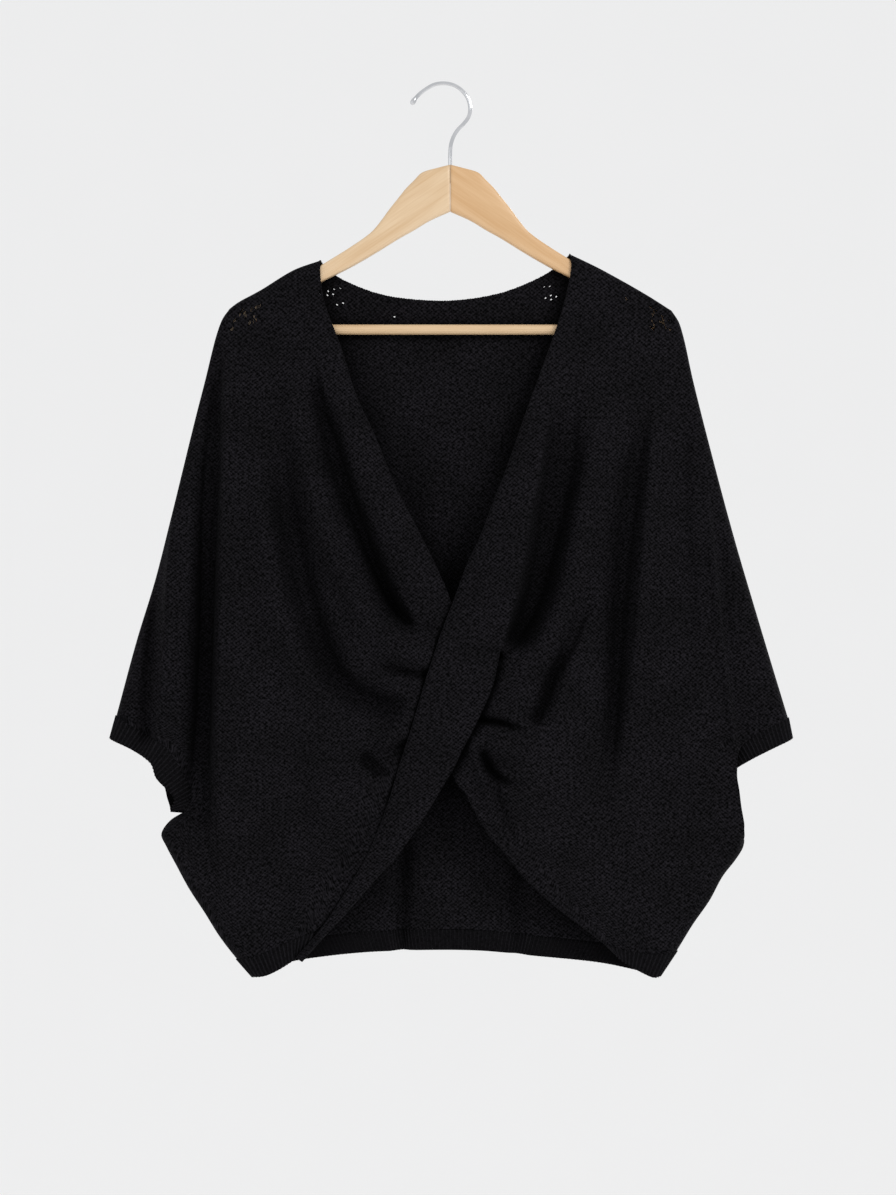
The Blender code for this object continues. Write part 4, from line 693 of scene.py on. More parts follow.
def frontLeft(material):
    rowsFiner, columnsFiner = panels["leftFiner"]
    upperRows, sleeveEndRows, dropRows, sideRows = [count * rowsFiner for count in panels["leftRows"]]
    slitRows = panels["slitRows"] * rowsFiner
    half = cloth["hiddenSeamGap"] / 2
    bandShare = band["topWidth"] / pathLength(leftShoulder)
    foldPath = [tuple(along(leftShoulder, [bandShare])[0])] + bandFoldUpper
    behind = [(x + half, z) for x, z in tuckSeam]
    left = stretches([
        (foldPath, upperRows - slitRows), (slit[:2], rowsFiner), (slit[1:] + behind[1:4], slitRows - rowsFiner),
        (behind[3:] + lowerEdgeStart, sleeveEndRows + dropRows), (lowerEdge, sideRows)], panels["firstRows"])
    right = stretches([
        (leftSleeve, upperRows), (leftCuffTop, sleeveEndRows), (leftCuffTop[-1:] + leftFrontDrop, dropRows),
        (leftSide[:-1], sideRows)], panels["firstRows"])
    widths = np.linalg.norm(right - left, axis=1)
    guides = foldGuides(leftGuides, "leftDropRidge", left, right)
    across = spread(widths, panels["leftColumns"], (), panels["edgeSteps"], guides, columnsFiner)
    shoulder = along(leftShoulder, bandShare + (1 - bandShare) * across[0])
    places = fill(shoulder, leftHemTop, left, right, across)
    foldGap, foldSide, _ = nearest(places[..., 0], places[..., 1], bandFoldLower)
    below = ramp((slit[0][1] - places[..., 1]) / band["slitFade"])
    sunk = band["slitDrop"] * below * ramp((band["slitReach"] - foldGap * foldSide) / band["slitSide"])
    body = bothSides(places, frontDepth(places[..., 0], places[..., 1]) - sunk, frontRims)

    # above the twist the band shares its fold with the body
    count = upperRows - slitRows + 1
    edge = stretches([(bandEdgeUpper, count - 1)], panels["firstRows"])
    fold = places[:count, 0]
    stand = band["stand"] * ramp((-edge[:, 1] - band["standFrom"]) / band["standOver"])
    edgeDepth = frontDepth(edge[:, 0], edge[:, 1]) + stand
    foldDepth = frontDepth(fold[:, 0], fold[:, 1])

    # below it the band stands on the cloth behind
    lowEdge, lowFold, lowDepth, lowTurn = bandLowerRows(panels["bandRows"] * rowsFiner)
    lowEdgeDepth = frontDepth(lowEdge[:, 0], lowEdge[:, 1]) + band["stand"]
    edge = np.concatenate([edge, lowEdge])
    fold = np.concatenate([fold, lowFold])
    edgeDepth = evened(np.concatenate([edgeDepth, lowEdgeDepth]))
    foldDepth = np.concatenate([foldDepth, lowDepth])
    turn = np.concatenate([np.zeros(count), lowTurn])
    width = np.linalg.norm(fold - edge, axis=1)
    flat = 1 - np.clip(turn / width, np.where(turn > 0, band["leastArc"], band["sharedArc"]), band["mostArc"])
    quarter = np.radians(np.linspace(0, 90, panels["arcColumns"] + 1))
    level = np.linspace(0, 1, panels["bandColumns"] + 1)
    share = np.concatenate([flat[:, None] * level[:-1], 1 - (1 - flat)[:, None] * (1 - np.sin(quarter))], axis=1)
    bandPlaces = edge[:, None] + share[..., None] * (fold - edge)[:, None]
    level = np.minimum(share / flat[:, None], 1)
    crown = band["crown"] * 4 * level * (1 - level) * ramp(width / band["crownWidth"])[:, None]
    depth = edgeDepth[:, None] + level * (foldDepth - edgeDepth)[:, None] + crown
    arcs = slice(panels["bandColumns"], None)
    depth[:, arcs] = foldDepth[:, None] - turn[:, None] * (1 - np.cos(quarter))
    bandOuter, bandInner = bothSides(bandPlaces, depth, frontRims)
    bandOuter[:count, -1] = body[0][:count, 0]

    # the layer that the fold turns under, back to its hidden seam
    turned = slice(0, panels["turnedRows"] * rowsFiner + 1)
    edge, fold, top, radius = [row[turned] for row in (lowEdge, lowFold, lowDepth, lowTurn)]
    top = top + halfSeam
    inwards = (edge - fold) / np.linalg.norm(edge - fold, axis=1)[:, None]
    seam = np.array(turnSeam, float)
    seamX = np.interp(-fold[:, 1], -seam[:, 1], seam[:, 0]) + half
    below = fold[:, 1] < turnSeam[1][1]
    narrow = fold + inwards * (radius + band["narrowEnd"])[:, None]
    end = np.where(below[:, None], np.stack([seamX, fold[:, 1]], axis=1), narrow)
    endLift = np.where(below, frontLift(seamX, fold[:, 1]) - cloth["wall"], top - 2 * radius)

    def arc(angle, wall):
        out = radius * (1 - math.sin(angle)) + wall * math.sin(angle)
        drop = radius * (1 - math.cos(angle)) + wall * math.cos(angle)
        return lifted(fold + inwards * out[:, None], top - drop)

    under, underInner = [], []
    for angle in np.radians(np.linspace(90, 180, panels["arcColumns"] + 1)):
        under.append(arc(angle, 0))
        underInner.append(arc(angle, cloth["wall"]))
    bend, seamEnd = under[-1], lifted(end, endLift)
    for k in range(1, panels["behindColumns"] + 1):
        under.append(bend + (seamEnd - bend) * k / panels["behindColumns"])
        underInner.append(under[-1] + [0, -cloth["wall"], 0])
    under, underInner = np.stack(under, axis=1), np.stack(underInner, axis=1)
    lower = slice(count, count + under.shape[0])
    for k, angle in enumerate(quarter):
        bandInner[lower, panels["bandColumns"] + k] = arc(angle, cloth["wall"])
    underInner[:, 0] = bandInner[lower, -1]
    sheets = [body, (under, underInner), (bandOuter, bandInner)]
    return clothShell("leftFrontCloth", sheets, material), body, (bandOuter, bandInner)


def wholeBack(material):
    rowsFiner, columnsFiner = panels["backFiner"]
    rows = [count * rowsFiner for count in panels["backRows"]]
    left = stretches(list(zip([rightSleeve, rightCuffTopBack, rightSide[:-1]], rows)), panels["firstRows"])
    armpit = leftCuffTopBack[-1:] + leftSide[:-1]
    right = stretches(list(zip([leftSleeve, leftCuffTopBack, armpit], rows)), panels["firstRows"])
    widths = np.linalg.norm(right - left, axis=1)
    columns, shoulder = panels["backColumns"], panels["backShoulder"]
    whole = pathLength(rightShoulder) + pathLength(backNeck) + pathLength(leftShoulder)
    firstShare, lastShare = pathLength(rightShoulder) / whole, 1 - pathLength(leftShoulder) / whole
    steps = np.array((0,) + panels["edgeSteps"]) / whole
    guides = [(shoulder + k, np.full(len(left), firstShare + step)) for k, step in enumerate(steps)]
    last = columns - shoulder
    guides += [(last - k, np.full(len(left), lastShare - steps[k])) for k in range(len(steps) - 1, -1, -1)]
    across = spread(widths, columns, panels["edgeSteps"], panels["edgeSteps"], guides, columnsFiner)
    turn, back = shoulder * columnsFiner, last * columnsFiner
    top = np.concatenate([
        along(rightShoulder, across[0, :turn] / firstShare),
        along(backNeck, (across[0, turn:back] - firstShare) / (lastShare - firstShare)),
        along(leftShoulder, (across[0, back:] - lastShare) / (1 - lastShare)),
    ])
    places = fill(top, backHemTop, left, right, across)
    sheet = bothSides(places, backDepth(places[..., 0], places[..., 1]), backRims, 1.0)
    return clothShell("backCloth", [sheet], material, turned=True, holes=eyelet["backOpening"]), sheet


# Ribbed cuffs and hems: a smooth strip in mesh code, with the ribs set on it by Geometry Nodes
ribs = {
    "pitch": 3.7, "radius": 1.15, "sunk": 0.55, "sunkFade": 5.0, "seamGap": -0.4, "behind": 1.5,
    "smooth": 4, "rows": 6, "sides": 8,
}


def between(points, count):
    length = np.concatenate([[0], np.cumsum(np.linalg.norm(np.diff(points, axis=0), axis=1))])
    wanted = np.linspace(0, length[-1], count)
    return np.stack([np.interp(wanted, length, points[:, k]) for k in range(3)], axis=1)


def stripLine(points, count, rims):
    # outer and inner points of one side of a strip, rounded off at the rims
    outer = between(points, count)
    gap = rimGap(outer[:, 0], outer[:, 2], rims)
    tangent = np.gradient(outer, axis=0) * [1, 0, 1]
    tangent /= np.maximum(np.linalg.norm(tangent, axis=1), 1e-9)[:, None]
    tangent[count // 2:] *= -1
    inner = outer + tangent * (cloth["wall"] * np.clip(1 - gap / cloth["rounding"], 0, 1))[:, None]
    full = rounded(outer[:, 0], outer[:, 2], rims)
    lift = np.abs(outer[:, 1])
    inner[:, 1] = np.sign(outer[:, 1]) * np.maximum(lift - cloth["wall"] * full, np.minimum(halfSeam, lift))
    return outer, inner


def ribStrip(name, parts, rims, material):
    # each part is the line of the seam and that of the free edge; a strip of two parts is a ring
    lines = [[], [], [], []]
    for number, (top, low) in enumerate(parts):
        length = np.linalg.norm(np.diff(low, axis=0), axis=1).sum()
        count = ribs["smooth"] * round(length / ribs["pitch"]) + 1
        for line, points in zip(lines, stripLine(top, count, rims) + stripLine(low, count, rims)):
            line.append(points[number > 0:])
    top, topInside, low, lowInside = [np.concatenate(line) for line in lines]
    down = low - top
    step = down * (ribs["seamGap"] / np.linalg.norm(down, axis=1))[:, None]
    top, topInside = top + step, topInside + step
    share = np.linspace(0, 1, ribs["rows"] + 1)[:, None, None]
    outer = top + share * (low - top)
    inner = topInside + share * (lowInside - topInside)
    if len(parts) > 1:
        inner[:, 0] = 0.5 * (inner[:, 0] + inner[:, -1])
        outer[:, -1], inner[:, -1] = outer[:, 0], inner[:, 0]
    strip = clothShell(name, [(outer, inner)], material)
    out = np.sign(outer[..., 1:2]) * ramp(np.abs(outer[..., 1:2]) / ribs["sunkFade"]) * [0, 1, 0]
    lines = (outer - ribs["sunk"] * out)[:, ::ribs["smooth"]]
    return strip, lines.transpose(1, 0, 2)


def edgeLine(path, depthAt, rims, sign=-1.0):
    places = along(path, np.linspace(0, 1, edgePoints))
    x, z = places.T
    return lifted(places, halfSeam + depthAt(x, z) * rounded(x, z, rims), sign)


def cuff(name, front, back, rims, material):
    # a ring of a front and a back half, whose ends meet on the middle plane
    for first, second in zip(front, back):
        for here, there in ((0, -1), (-1, 0)):
            meeting = 0.5 * (first[here] + second[there])
            meeting[1] = 0
            first[here] = meeting
            second[there] = meeting
    return ribStrip(name, [front, back], rims, material)


def cuffRows(rows, finer):
    return slice(rows[0] * finer, (rows[0] + rows[1]) * finer + 1)


def makeRightCuff(front, back, material):
    frontPart = front[0][cuffRows(panels["rightRows"], panels["rightFiner"][0]), 0]
    backPart = back[0][cuffRows(panels["backRows"], panels["backFiner"][0]), 0]
    frontHalf = [frontPart.copy(), edgeLine(rightCuffEdge, frontDepth, rightCuffRims)]
    backHalf = [backPart[::-1].copy(), edgeLine(rightCuffEdgeBack[::-1], backDepth, rightCuffRims, 1.0)]
    return cuff("rightCuff", frontHalf, backHalf, rightCuffRims, material)


def makeLeftCuff(front, back, material):
    # the front's side hangs before this cuff, so part of the rib starts behind it
    def plainDepth(x, z):
        return form(x, z, frontForm) - ribs["behind"]

    hidden = edgeLine(leftCuffHidden[::-1], plainDepth, leftCuffRims)
    seen = front[0][cuffRows(panels["leftRows"], panels["leftFiner"][0]), -1][:-1]
    frontTop = np.concatenate([hidden, seen[::-1]])
    frontHalf = [frontTop, edgeLine(leftCuffEdge[::-1], plainDepth, leftCuffRims)]
    backPart = back[0][cuffRows(panels["backRows"], panels["backFiner"][0]), -1]
    backHalf = [backPart.copy(), edgeLine(leftCuffEdgeBack, backDepth, leftCuffRims, 1.0)]
    return cuff("leftCuff", frontHalf, backHalf, leftCuffRims, material)


def makeHems(right, left, back, material):
    made = []
    for name, sheet, path in (("rightFrontHem", right, rightHemEdge), ("leftFrontHem", left, leftHemEdge)):
        made.append(ribStrip(name, [(sheet[0][-1], edgeLine(path, frontDepth, frontRims))], frontRims, material))
    edge = edgeLine(backHemEdge[::-1], backDepth, backRims, 1.0)
    made.append(ribStrip("backHem", [(back[0][-1, ::-1], edge)], backRims, material))
    return made


# Node trees
def node(tree, kind, inputs=None, **settings):
    made = tree.nodes.new(kind)
    for name, value in settings.items():
        setattr(made, name, value)
    for key, value in (inputs or {}).items():
        if isinstance(value, bpy.types.NodeSocket):
            tree.links.new(value, made.inputs[key])
        else:
            made.inputs[key].default_value = value
    return made


def sums(tree, operation, a, b):
    return node(tree, "ShaderNodeMath", {0: a, 1: b}, operation=operation).outputs[0]


def newTree(name, inputs):
    tree = bpy.data.node_groups.new(name, "GeometryNodeTree")
    tree.interface.new_socket("Geometry", in_out="INPUT", socket_type="NodeSocketGeometry")
    for socket, kind, value in inputs:
        made = tree.interface.new_socket(socket, in_out="INPUT", socket_type="NodeSocket" + kind)
        if value is not None:
            made.default_value = value
    tree.interface.new_socket("Geometry", in_out="OUTPUT", socket_type="NodeSocketGeometry")
    return tree, tree.nodes.new("NodeGroupInput").outputs


def endTree(tree, source, given):
    # every tree ends by realizing its instances and setting the material
    smooth = node(tree, "GeometryNodeSetShadeSmooth", {0: source}).outputs[0]
    realized = node(tree, "GeometryNodeRealizeInstances", {0: smooth}).outputs[0]
    painted = node(tree, "GeometryNodeSetMaterial", {"Geometry": realized, "Material": given["Material"]})
    node(tree, "NodeGroupOutput", {0: painted.outputs[0]})
    return tree


def ribTree():
    # a round cord along every line of the guide mesh
    tree, given = newTree("ribCords", [
        ("Radius", "Float", ribs["radius"] * mm), ("Sides", "Int", ribs["sides"]), ("Material", "Material", None)])
    curve = node(tree, "GeometryNodeMeshToCurve", {"Mesh": given["Geometry"]}).outputs[0]
    circle = node(tree, "GeometryNodeCurvePrimitiveCircle", {
        "Radius": given["Radius"], "Resolution": given["Sides"]}).outputs[0]
    sweep = node(tree, "GeometryNodeCurveToMesh", {"Curve": curve, "Profile Curve": circle, "Fill Caps": True})
    return endTree(tree, sweep.outputs[0], given)


edging = {
    "spacing": 2.5, "length": 1.75, "thick": 0.85, "tilt": 0.42, "jitter": 0.16, "seed": 7,
    "segments": 8, "rings": 6, "neckRowsLeft": 20,
}


def stitchTree():
    # a bound-off edge: a small loop at every stitch of the guide line, leaning a little and never quite alike
    tree, given = newTree("edgeStitches", [
        ("Spacing", "Float", edging["spacing"] * mm), ("Length", "Float", edging["length"] * mm),
        ("Thickness", "Float", edging["thick"] * mm), ("Tilt", "Float", edging["tilt"]),
        ("Jitter", "Float", edging["jitter"]), ("Seed", "Int", edging["seed"]), ("Material", "Material", None)])
    curve = node(tree, "GeometryNodeMeshToCurve", {"Mesh": given["Geometry"]}).outputs[0]
    spots = node(tree, "GeometryNodeCurveToPoints", {"Curve": curve, "Length": given["Spacing"]}, mode="LENGTH")
    loop = node(tree, "GeometryNodeMeshUVSphere", {
        "Segments": edging["segments"], "Rings": edging["rings"], "Radius": 1.0}).outputs["Mesh"]
    size = node(tree, "ShaderNodeCombineXYZ", {
        "X": given["Thickness"], "Y": given["Thickness"], "Z": given["Length"]}).outputs[0]
    least, most = sums(tree, "SUBTRACT", 1.0, given["Jitter"]), sums(tree, "ADD", 1.0, given["Jitter"])
    chance = node(tree, "FunctionNodeRandomValue", {2: least, 3: most, "Seed": given["Seed"]}).outputs[1]
    scale = node(tree, "ShaderNodeVectorMath", {0: size, "Scale": chance}, operation="SCALE").outputs[0]
    lean = node(tree, "ShaderNodeCombineXYZ", {"X": given["Tilt"]}).outputs[0]
    turn = node(tree, "FunctionNodeRotateEuler", {
        "Rotation": spots.outputs["Rotation"], "Rotate By": lean}, space="LOCAL").outputs[0]
    placed = node(tree, "GeometryNodeInstanceOnPoints", {
        "Points": spots.outputs["Points"], "Instance": loop, "Rotation": turn, "Scale": scale}).outputs[0]
    return endTree(tree, placed, given)


def grow(name, lines, tree, material):
    # runs a tree over guide lines and keeps the result as a plain mesh
    points = np.concatenate(lines)
    edges, first = [], 0
    for line in lines:
        edges += [(first + k, first + k + 1) for k in range(len(line) - 1)]
        first += len(line)
    guide = bpy.data.meshes.new(name + "Guide")
    guide.from_pydata((points * mm).tolist(), edges, [])
    guideObject = bpy.data.objects.new(name + "Guide", guide)
    bpy.context.scene.collection.objects.link(guideObject)
    modifier = guideObject.modifiers.new("grow", "NODES")
    modifier.node_group = tree
    for item in tree.interface.items_tree:
        if item.in_out == "INPUT" and item.name == "Material":
            modifier[item.identifier] = material
    bpy.context.view_layer.update()
    grown = bpy.data.meshes.new_from_object(guideObject.evaluated_get(bpy.context.evaluated_depsgraph_get()))
    guideObject.modifiers.clear()
    bpy.data.objects.remove(guideObject)
    grown.name = name
    obj = bpy.data.objects.new(name, grown)
    bpy.context.scene.collection.objects.link(obj)
    return obj


# Materials
def addedTo(tree, value, share, rest):
    return node(tree, "ShaderNodeMath", {0: value, 1: share, 2: rest}, operation="MULTIPLY_ADD").outputs[0]


def noise(tree, place, scale, detail, **more):
    return node(tree, "ShaderNodeTexNoise", {"Vector": place, "Scale": scale, "Detail": detail, **more})


def bumped(tree, shader, height, relief, strength):
    bump = node(tree, "ShaderNodeBump", {"Height": height, "Distance": relief * mm, "Strength": strength})
    tree.links.new(bump.outputs[0], shader.inputs["Normal"])


def newMaterial(name, roughness):
    material = bpy.data.materials.new(name)
    material.use_nodes = True
    shader = material.node_tree.nodes["Principled BSDF"]
    shader.inputs["Roughness"].default_value = roughness
    return material, material.node_tree, shader


def ramped(tree, factor, low, high, start=0.3, end=0.7):
    made = node(tree, "ShaderNodeValToRGB", {0: factor})
    made.color_ramp.elements[0].position, made.color_ramp.elements[1].position = start, end
    made.color_ramp.elements[0].color, made.color_ramp.elements[1].color = (*low, 1), (*high, 1)
    return made.outputs[0]


# Colours of the yarn, painted dark deep down and painted light on top, then stitches, fibres, worn patches, painted
# shade in hollows, and sheen
yarn = {
    "stitchWide": 2.3, "stitchTall": 1.9, "stitchRelief": 0.6,
    "deep": (0.0002, 0.0002, 0.0003), "lit": (0.0165, 0.0153, 0.0181), "fluff": (0.0125, 0.0117, 0.0138),
    # rib cords run from ribDeep to ribLit; the strip under them gets a darker colour, as painted shade in the gaps
    # between the cords
    "ribDeep": (0.0012, 0.0011, 0.0014), "ribLit": (0.0145, 0.0135, 0.0160), "ribGapShade": (0.0070, 0.0065, 0.0076),
    "ribStart": 0.2, "ribScale": 700.0, "ribRelief": 0.3, "ribStrength": 0.5,
    "wander": 0.0034, "wanderScale": 210.0, "loopRise": 0.10,
    "fuzz": 0.85, "fuzzScale": 310.0, "fuzzRoughness": 0.8, "shadeStart": 0.42, "shadeEnd": 0.71,
    "wornScale": 22.0, "wornLow": (0.82, 0.82, 0.82), "wornHigh": (1.12, 1.1, 1.14),
    "wornStart": 0.35, "wornEnd": 0.65,
    # painted shade in folds: how far ambient occlusion looks, how dark the colour gets where closed in, and where
    # that darkening starts and ends
    "paintedShadeReach": 0.065, "paintedShadeDarkest": 0.12, "paintedShadeStart": 0.28, "paintedShadeEnd": 0.86,
    "sheen": 0.01, "sheenRoughness": 0.5, "sheenTint": (0.75, 0.73, 0.8), "roughness": 0.85, "specular": 0.04,
}


def finishYarn(shader):
    shader.inputs["Specular IOR Level"].default_value = yarn["specular"]
    shader.inputs["Sheen Weight"].default_value = yarn["sheen"]
    shader.inputs["Sheen Roughness"].default_value = yarn["sheenRoughness"]
    shader.inputs["Sheen Tint"].default_value = (*yarn["sheenTint"], 1)


def multiplied(tree, a, b):
    return node(tree, "ShaderNodeMix", {"Factor": 1.0, "A": a, "B": b},
                data_type="RGBA", blend_type="MULTIPLY").outputs["Result"]


def paintedFoldShade(tree, colour):
    # painted shade: the colour darkens deep inside a fold and wherever other cloth comes near, as far as ambient
    # occlusion finds it closed in
    openness = node(tree, "ShaderNodeAmbientOcclusion", {"Distance": yarn["paintedShadeReach"]}, samples=8).outputs["AO"]
    shade = ramped(tree, openness, (yarn["paintedShadeDarkest"],) * 3, (1, 1, 1), yarn["paintedShadeStart"], yarn["paintedShadeEnd"])
    return multiplied(tree, colour, shade)


def mossKnit():
    # moss stitch: raised and sunk stitches by turns, on the flat cloth's own places, with loose fibres over it
    material, tree, shader = newMaterial("mossKnit", yarn["roughness"])
    place = node(tree, "ShaderNodeUVMap", uv_map="clothPlace").outputs[0]
    wander = noise(tree, place, yarn["wanderScale"], 3.0).outputs["Color"]
    wander = node(tree, "ShaderNodeVectorMath", {0: wander, 1: (0.5, 0.5, 0.5)}, operation="SUBTRACT").outputs[0]
    wander = node(tree, "ShaderNodeVectorMath", {0: wander, "Scale": yarn["wander"]}, operation="SCALE").outputs[0]
    moved = node(tree, "ShaderNodeVectorMath", {0: place, 1: wander}, operation="ADD").outputs[0]
    axes = node(tree, "ShaderNodeSeparateXYZ", {0: moved}).outputs
    across, down = [
        sums(tree, "SINE", sums(tree, "MULTIPLY", axis, math.pi / (yarn[size] * mm)), 0.0)
        for axis, size in zip(axes, ("stitchWide", "stitchTall"))]
    loops = addedTo(tree, sums(tree, "MULTIPLY", across, down), yarn["loopRise"], yarn["loopRise"])
    strands = noise(tree, place, yarn["fuzzScale"], 3.0, Roughness=yarn["fuzzRoughness"]).outputs[0]
    height = addedTo(tree, strands, yarn["fuzz"], loops)
    mottled = noise(tree, place, yarn["wornScale"], 2.0).outputs[0]
    # painted light and shade: the colour is dark where the stitches sink and light where they rise
    shade = ramped(tree, height, yarn["deep"], yarn["lit"], yarn["shadeStart"], yarn["shadeEnd"])
    worn = ramped(tree, mottled, yarn["wornLow"], yarn["wornHigh"], yarn["wornStart"], yarn["wornEnd"])
    tree.links.new(paintedFoldShade(tree, multiplied(tree, shade, worn)), shader.inputs["Base Color"])
    bumped(tree, shader, height, yarn["stitchRelief"], 1.0)
    finishYarn(shader)
    return material


def plainYarn(name, low, high, start=0.3, shaded=True):
    # ribs and bound edges: twisted yarn seen close
    material, tree, shader = newMaterial(name, yarn["roughness"])
    place = node(tree, "ShaderNodeTexCoord").outputs["Object"]
    strands = noise(tree, place, yarn["ribScale"], 3.0).outputs[0]
    colour = ramped(tree, strands, low, high, start, 1 - start)
    # when shaded, the colour gets painted shade in folds and between the rib cords
    tree.links.new(paintedFoldShade(tree, colour) if shaded else colour, shader.inputs["Base Color"])
    bumped(tree, shader, strands, yarn["ribRelief"], yarn["ribStrength"])
    finishYarn(shader)
    return material


wood = {
    "rightTurn": 34.0, "leftTurn": -34.0, "barTurn": 0.0,
    # one wood for the hanger: its own tone, painted paler on the right arm and deeper on the left arm as painted
    # light and shade for how light falls on each
    "rightColours": ((0.70, 0.47, 0.26), (0.83, 0.62, 0.40)),
    "leftColours": ((0.66, 0.39, 0.18), (0.77, 0.50, 0.27)),
    "barColours": ((0.64, 0.42, 0.22), (0.76, 0.54, 0.32)),
    "roughness": 0.42, "coat": 0.25, "coatRoughness": 0.3,
    "streakScale": (5.0, 60.0, 75.0), "streakBend": 0.6, "poreScale": (30.0, 500.0, 700.0),
    "streakShare": 0.7, "poreShare": 0.3, "poreRelief": 0.1, "poreStrength": 0.25,
    "rampStart": 0.36, "rampEnd": 0.62,
}
wire = {"roughness": 0.14, "drawnScale": 60.0, "colours": ((0.62, 0.63, 0.65), (0.80, 0.80, 0.82))}


def woodGrain(name, turn, colours):
    # long streaks that run along the piece, with fine pores
    material, tree, shader = newMaterial(name, wood["roughness"])
    place = node(tree, "ShaderNodeTexCoord").outputs["Object"]
    grain = node(tree, "ShaderNodeMapping", {"Vector": place, "Rotation": (0, math.radians(turn), 0)}).outputs[0]
    lengthwise, fine = [
        node(tree, "ShaderNodeMapping", {"Vector": grain, "Scale": wood[scale]}).outputs[0]
        for scale in ("streakScale", "poreScale")]
    streaks = noise(tree, lengthwise, 1.0, 4.0, Distortion=wood["streakBend"]).outputs[0]
    pores = noise(tree, fine, 1.0, 2.0).outputs[0]
    blend = addedTo(tree, pores, wood["poreShare"], sums(tree, "MULTIPLY", streaks, wood["streakShare"]))
    tree.links.new(ramped(tree, blend, *colours, wood["rampStart"], wood["rampEnd"]), shader.inputs["Base Color"])
    bumped(tree, shader, pores, wood["poreRelief"], wood["poreStrength"])
    shader.inputs["Coat Weight"].default_value = wood["coat"]
    shader.inputs["Coat Roughness"].default_value = wood["coatRoughness"]
    return material


def polishedWire():
    material, tree, shader = newMaterial("polishedWire", wire["roughness"])
    place = node(tree, "ShaderNodeTexCoord").outputs["Object"]
    drawn = noise(tree, place, wire["drawnScale"], 2.0).outputs[0]
    tree.links.new(ramped(tree, drawn, *wire["colours"]), shader.inputs["Base Color"])
    shader.inputs["Metallic"].default_value = 1.0
    return material


def paint(name, colour, roughness, glow):
    # a very faint cloudiness, and some light of its own
    material, tree, shader = newMaterial(name, roughness)
    place = node(tree, "ShaderNodeTexCoord").outputs["Object"]
    cloud = noise(tree, place, studio["cloudScale"], 2.0).outputs[0]
    low = tuple(studio["cloudShade"] * value for value in colour)
    tree.links.new(ramped(tree, cloud, low, colour), shader.inputs["Base Color"])
    shader.inputs["Emission Color"].default_value = (1, 1, 1, 1)
    shader.inputs["Emission Strength"].default_value = glow
    return material


# The hanger: two curved arms, a dowel between them and a bent wire hook
hanger = {
    "thick": 12.0, "squareness": 0.45, "sections": 90, "sides": 40,
    "wireRadius": 1.9, "wireSteps": 180, "wireSides": 16,
    "bead": 1.4, "beadAt": 4.0, "beadReach": 6.0, "tip": (0.45, 0.8),
}


def tube(name, rings, order, material):
    # a closed tube through rings of points; order is the way round that its faces run
    sections, sides = rings.shape[:2]
    here = np.arange((sections - 1) * sides).reshape(sections - 1, sides)
    after = np.roll(here, -1, axis=1)
    faces = np.stack([here, after, after + sides, here + sides], axis=-1).reshape(-1, 4)[:, order].tolist()
    first, last = list(range(sides)), list(range((sections - 1) * sides, sections * sides))
    faces += [first[::-1], last] if order == [0, 1, 2, 3] else [first, last[::-1]]
    return makeObject(name, rings.reshape(-1, 3), faces, None, material)


def makeArm(name, side, material):
    shares = np.linspace(0, 1, hanger["sections"])
    top, bottom = along(armTop, shares), along(armBottom, shares)
    angles = np.linspace(0, 2 * math.pi, hanger["sides"], endpoint=False) + math.pi / hanger["sides"]
    up = np.sign(np.sin(angles)) * np.abs(np.sin(angles)) ** hanger["squareness"]
    out = np.sign(np.cos(angles)) * np.abs(np.cos(angles)) ** hanger["squareness"]
    place = ((top + bottom) / 2)[:, None] + up[None, :, None] * ((top - bottom) / 2)[:, None]
    x = centre + side * np.maximum(centre - place[..., 0], halfSeam)
    y = np.broadcast_to(out * hanger["thick"] / 2, x.shape)
    order = [3, 2, 1, 0] if side > 0 else [0, 1, 2, 3]
    return tube(name, np.stack([x, y, place[..., 1]], axis=-1), order, material)


def makeHook(material):
    route = along(hookLine, np.linspace(0, 1, hanger["wireSteps"]))
    tangent = np.gradient(route, axis=0)
    tangent /= np.linalg.norm(tangent, axis=1)[:, None]
    start = np.arange(len(route))
    near = ramp(1 - np.abs(start - hanger["beadAt"]) / hanger["beadReach"])
    radius = hanger["wireRadius"] * (1 + (hanger["bead"] - 1) * near)
    radius[:2] *= hanger["tip"]
    angles = np.linspace(0, 2 * math.pi, hanger["wireSides"], endpoint=False)
    points = np.stack([
        route[:, None, 0] + radius[:, None] * np.cos(angles) * tangent[:, None, 1],
        radius[:, None] * np.sin(angles),
        route[:, None, 1] - radius[:, None] * np.cos(angles) * tangent[:, None, 0]], axis=-1)
    return tube("hookWire", points, [0, 3, 2, 1], material)


# Camera, light and the plain surroundings
studio = {
    "across": 4.9, "height": -502.0, "distance": 3200.0, "frameTall": 1171.0, "sensor": 36.0,
    "wallBack": 9000.0, "wallReach": 4000.0, "wallTop": 2500.0, "floor": -3200.0,
    "wallColour": (0.36, 0.36, 0.362), "wallRoughness": 0.95, "wallGlow": 0.56,
    "cloudScale": 3.0, "cloudShade": 0.985,
    "world": 0.72, "worldColour": (0.98, 0.99, 1.0), "aimHeight": -450.0,
}
Light = namedtuple("Light", "name place power size")
lights = [
    Light("key", (2700, -3300, 1500), 63.0, 1.4), Light("fill", (-1900, -2600, -300), 6.0, 1.6),
    Light("rear", (2600, 2900, 1300), 55.0, 1.4),
]


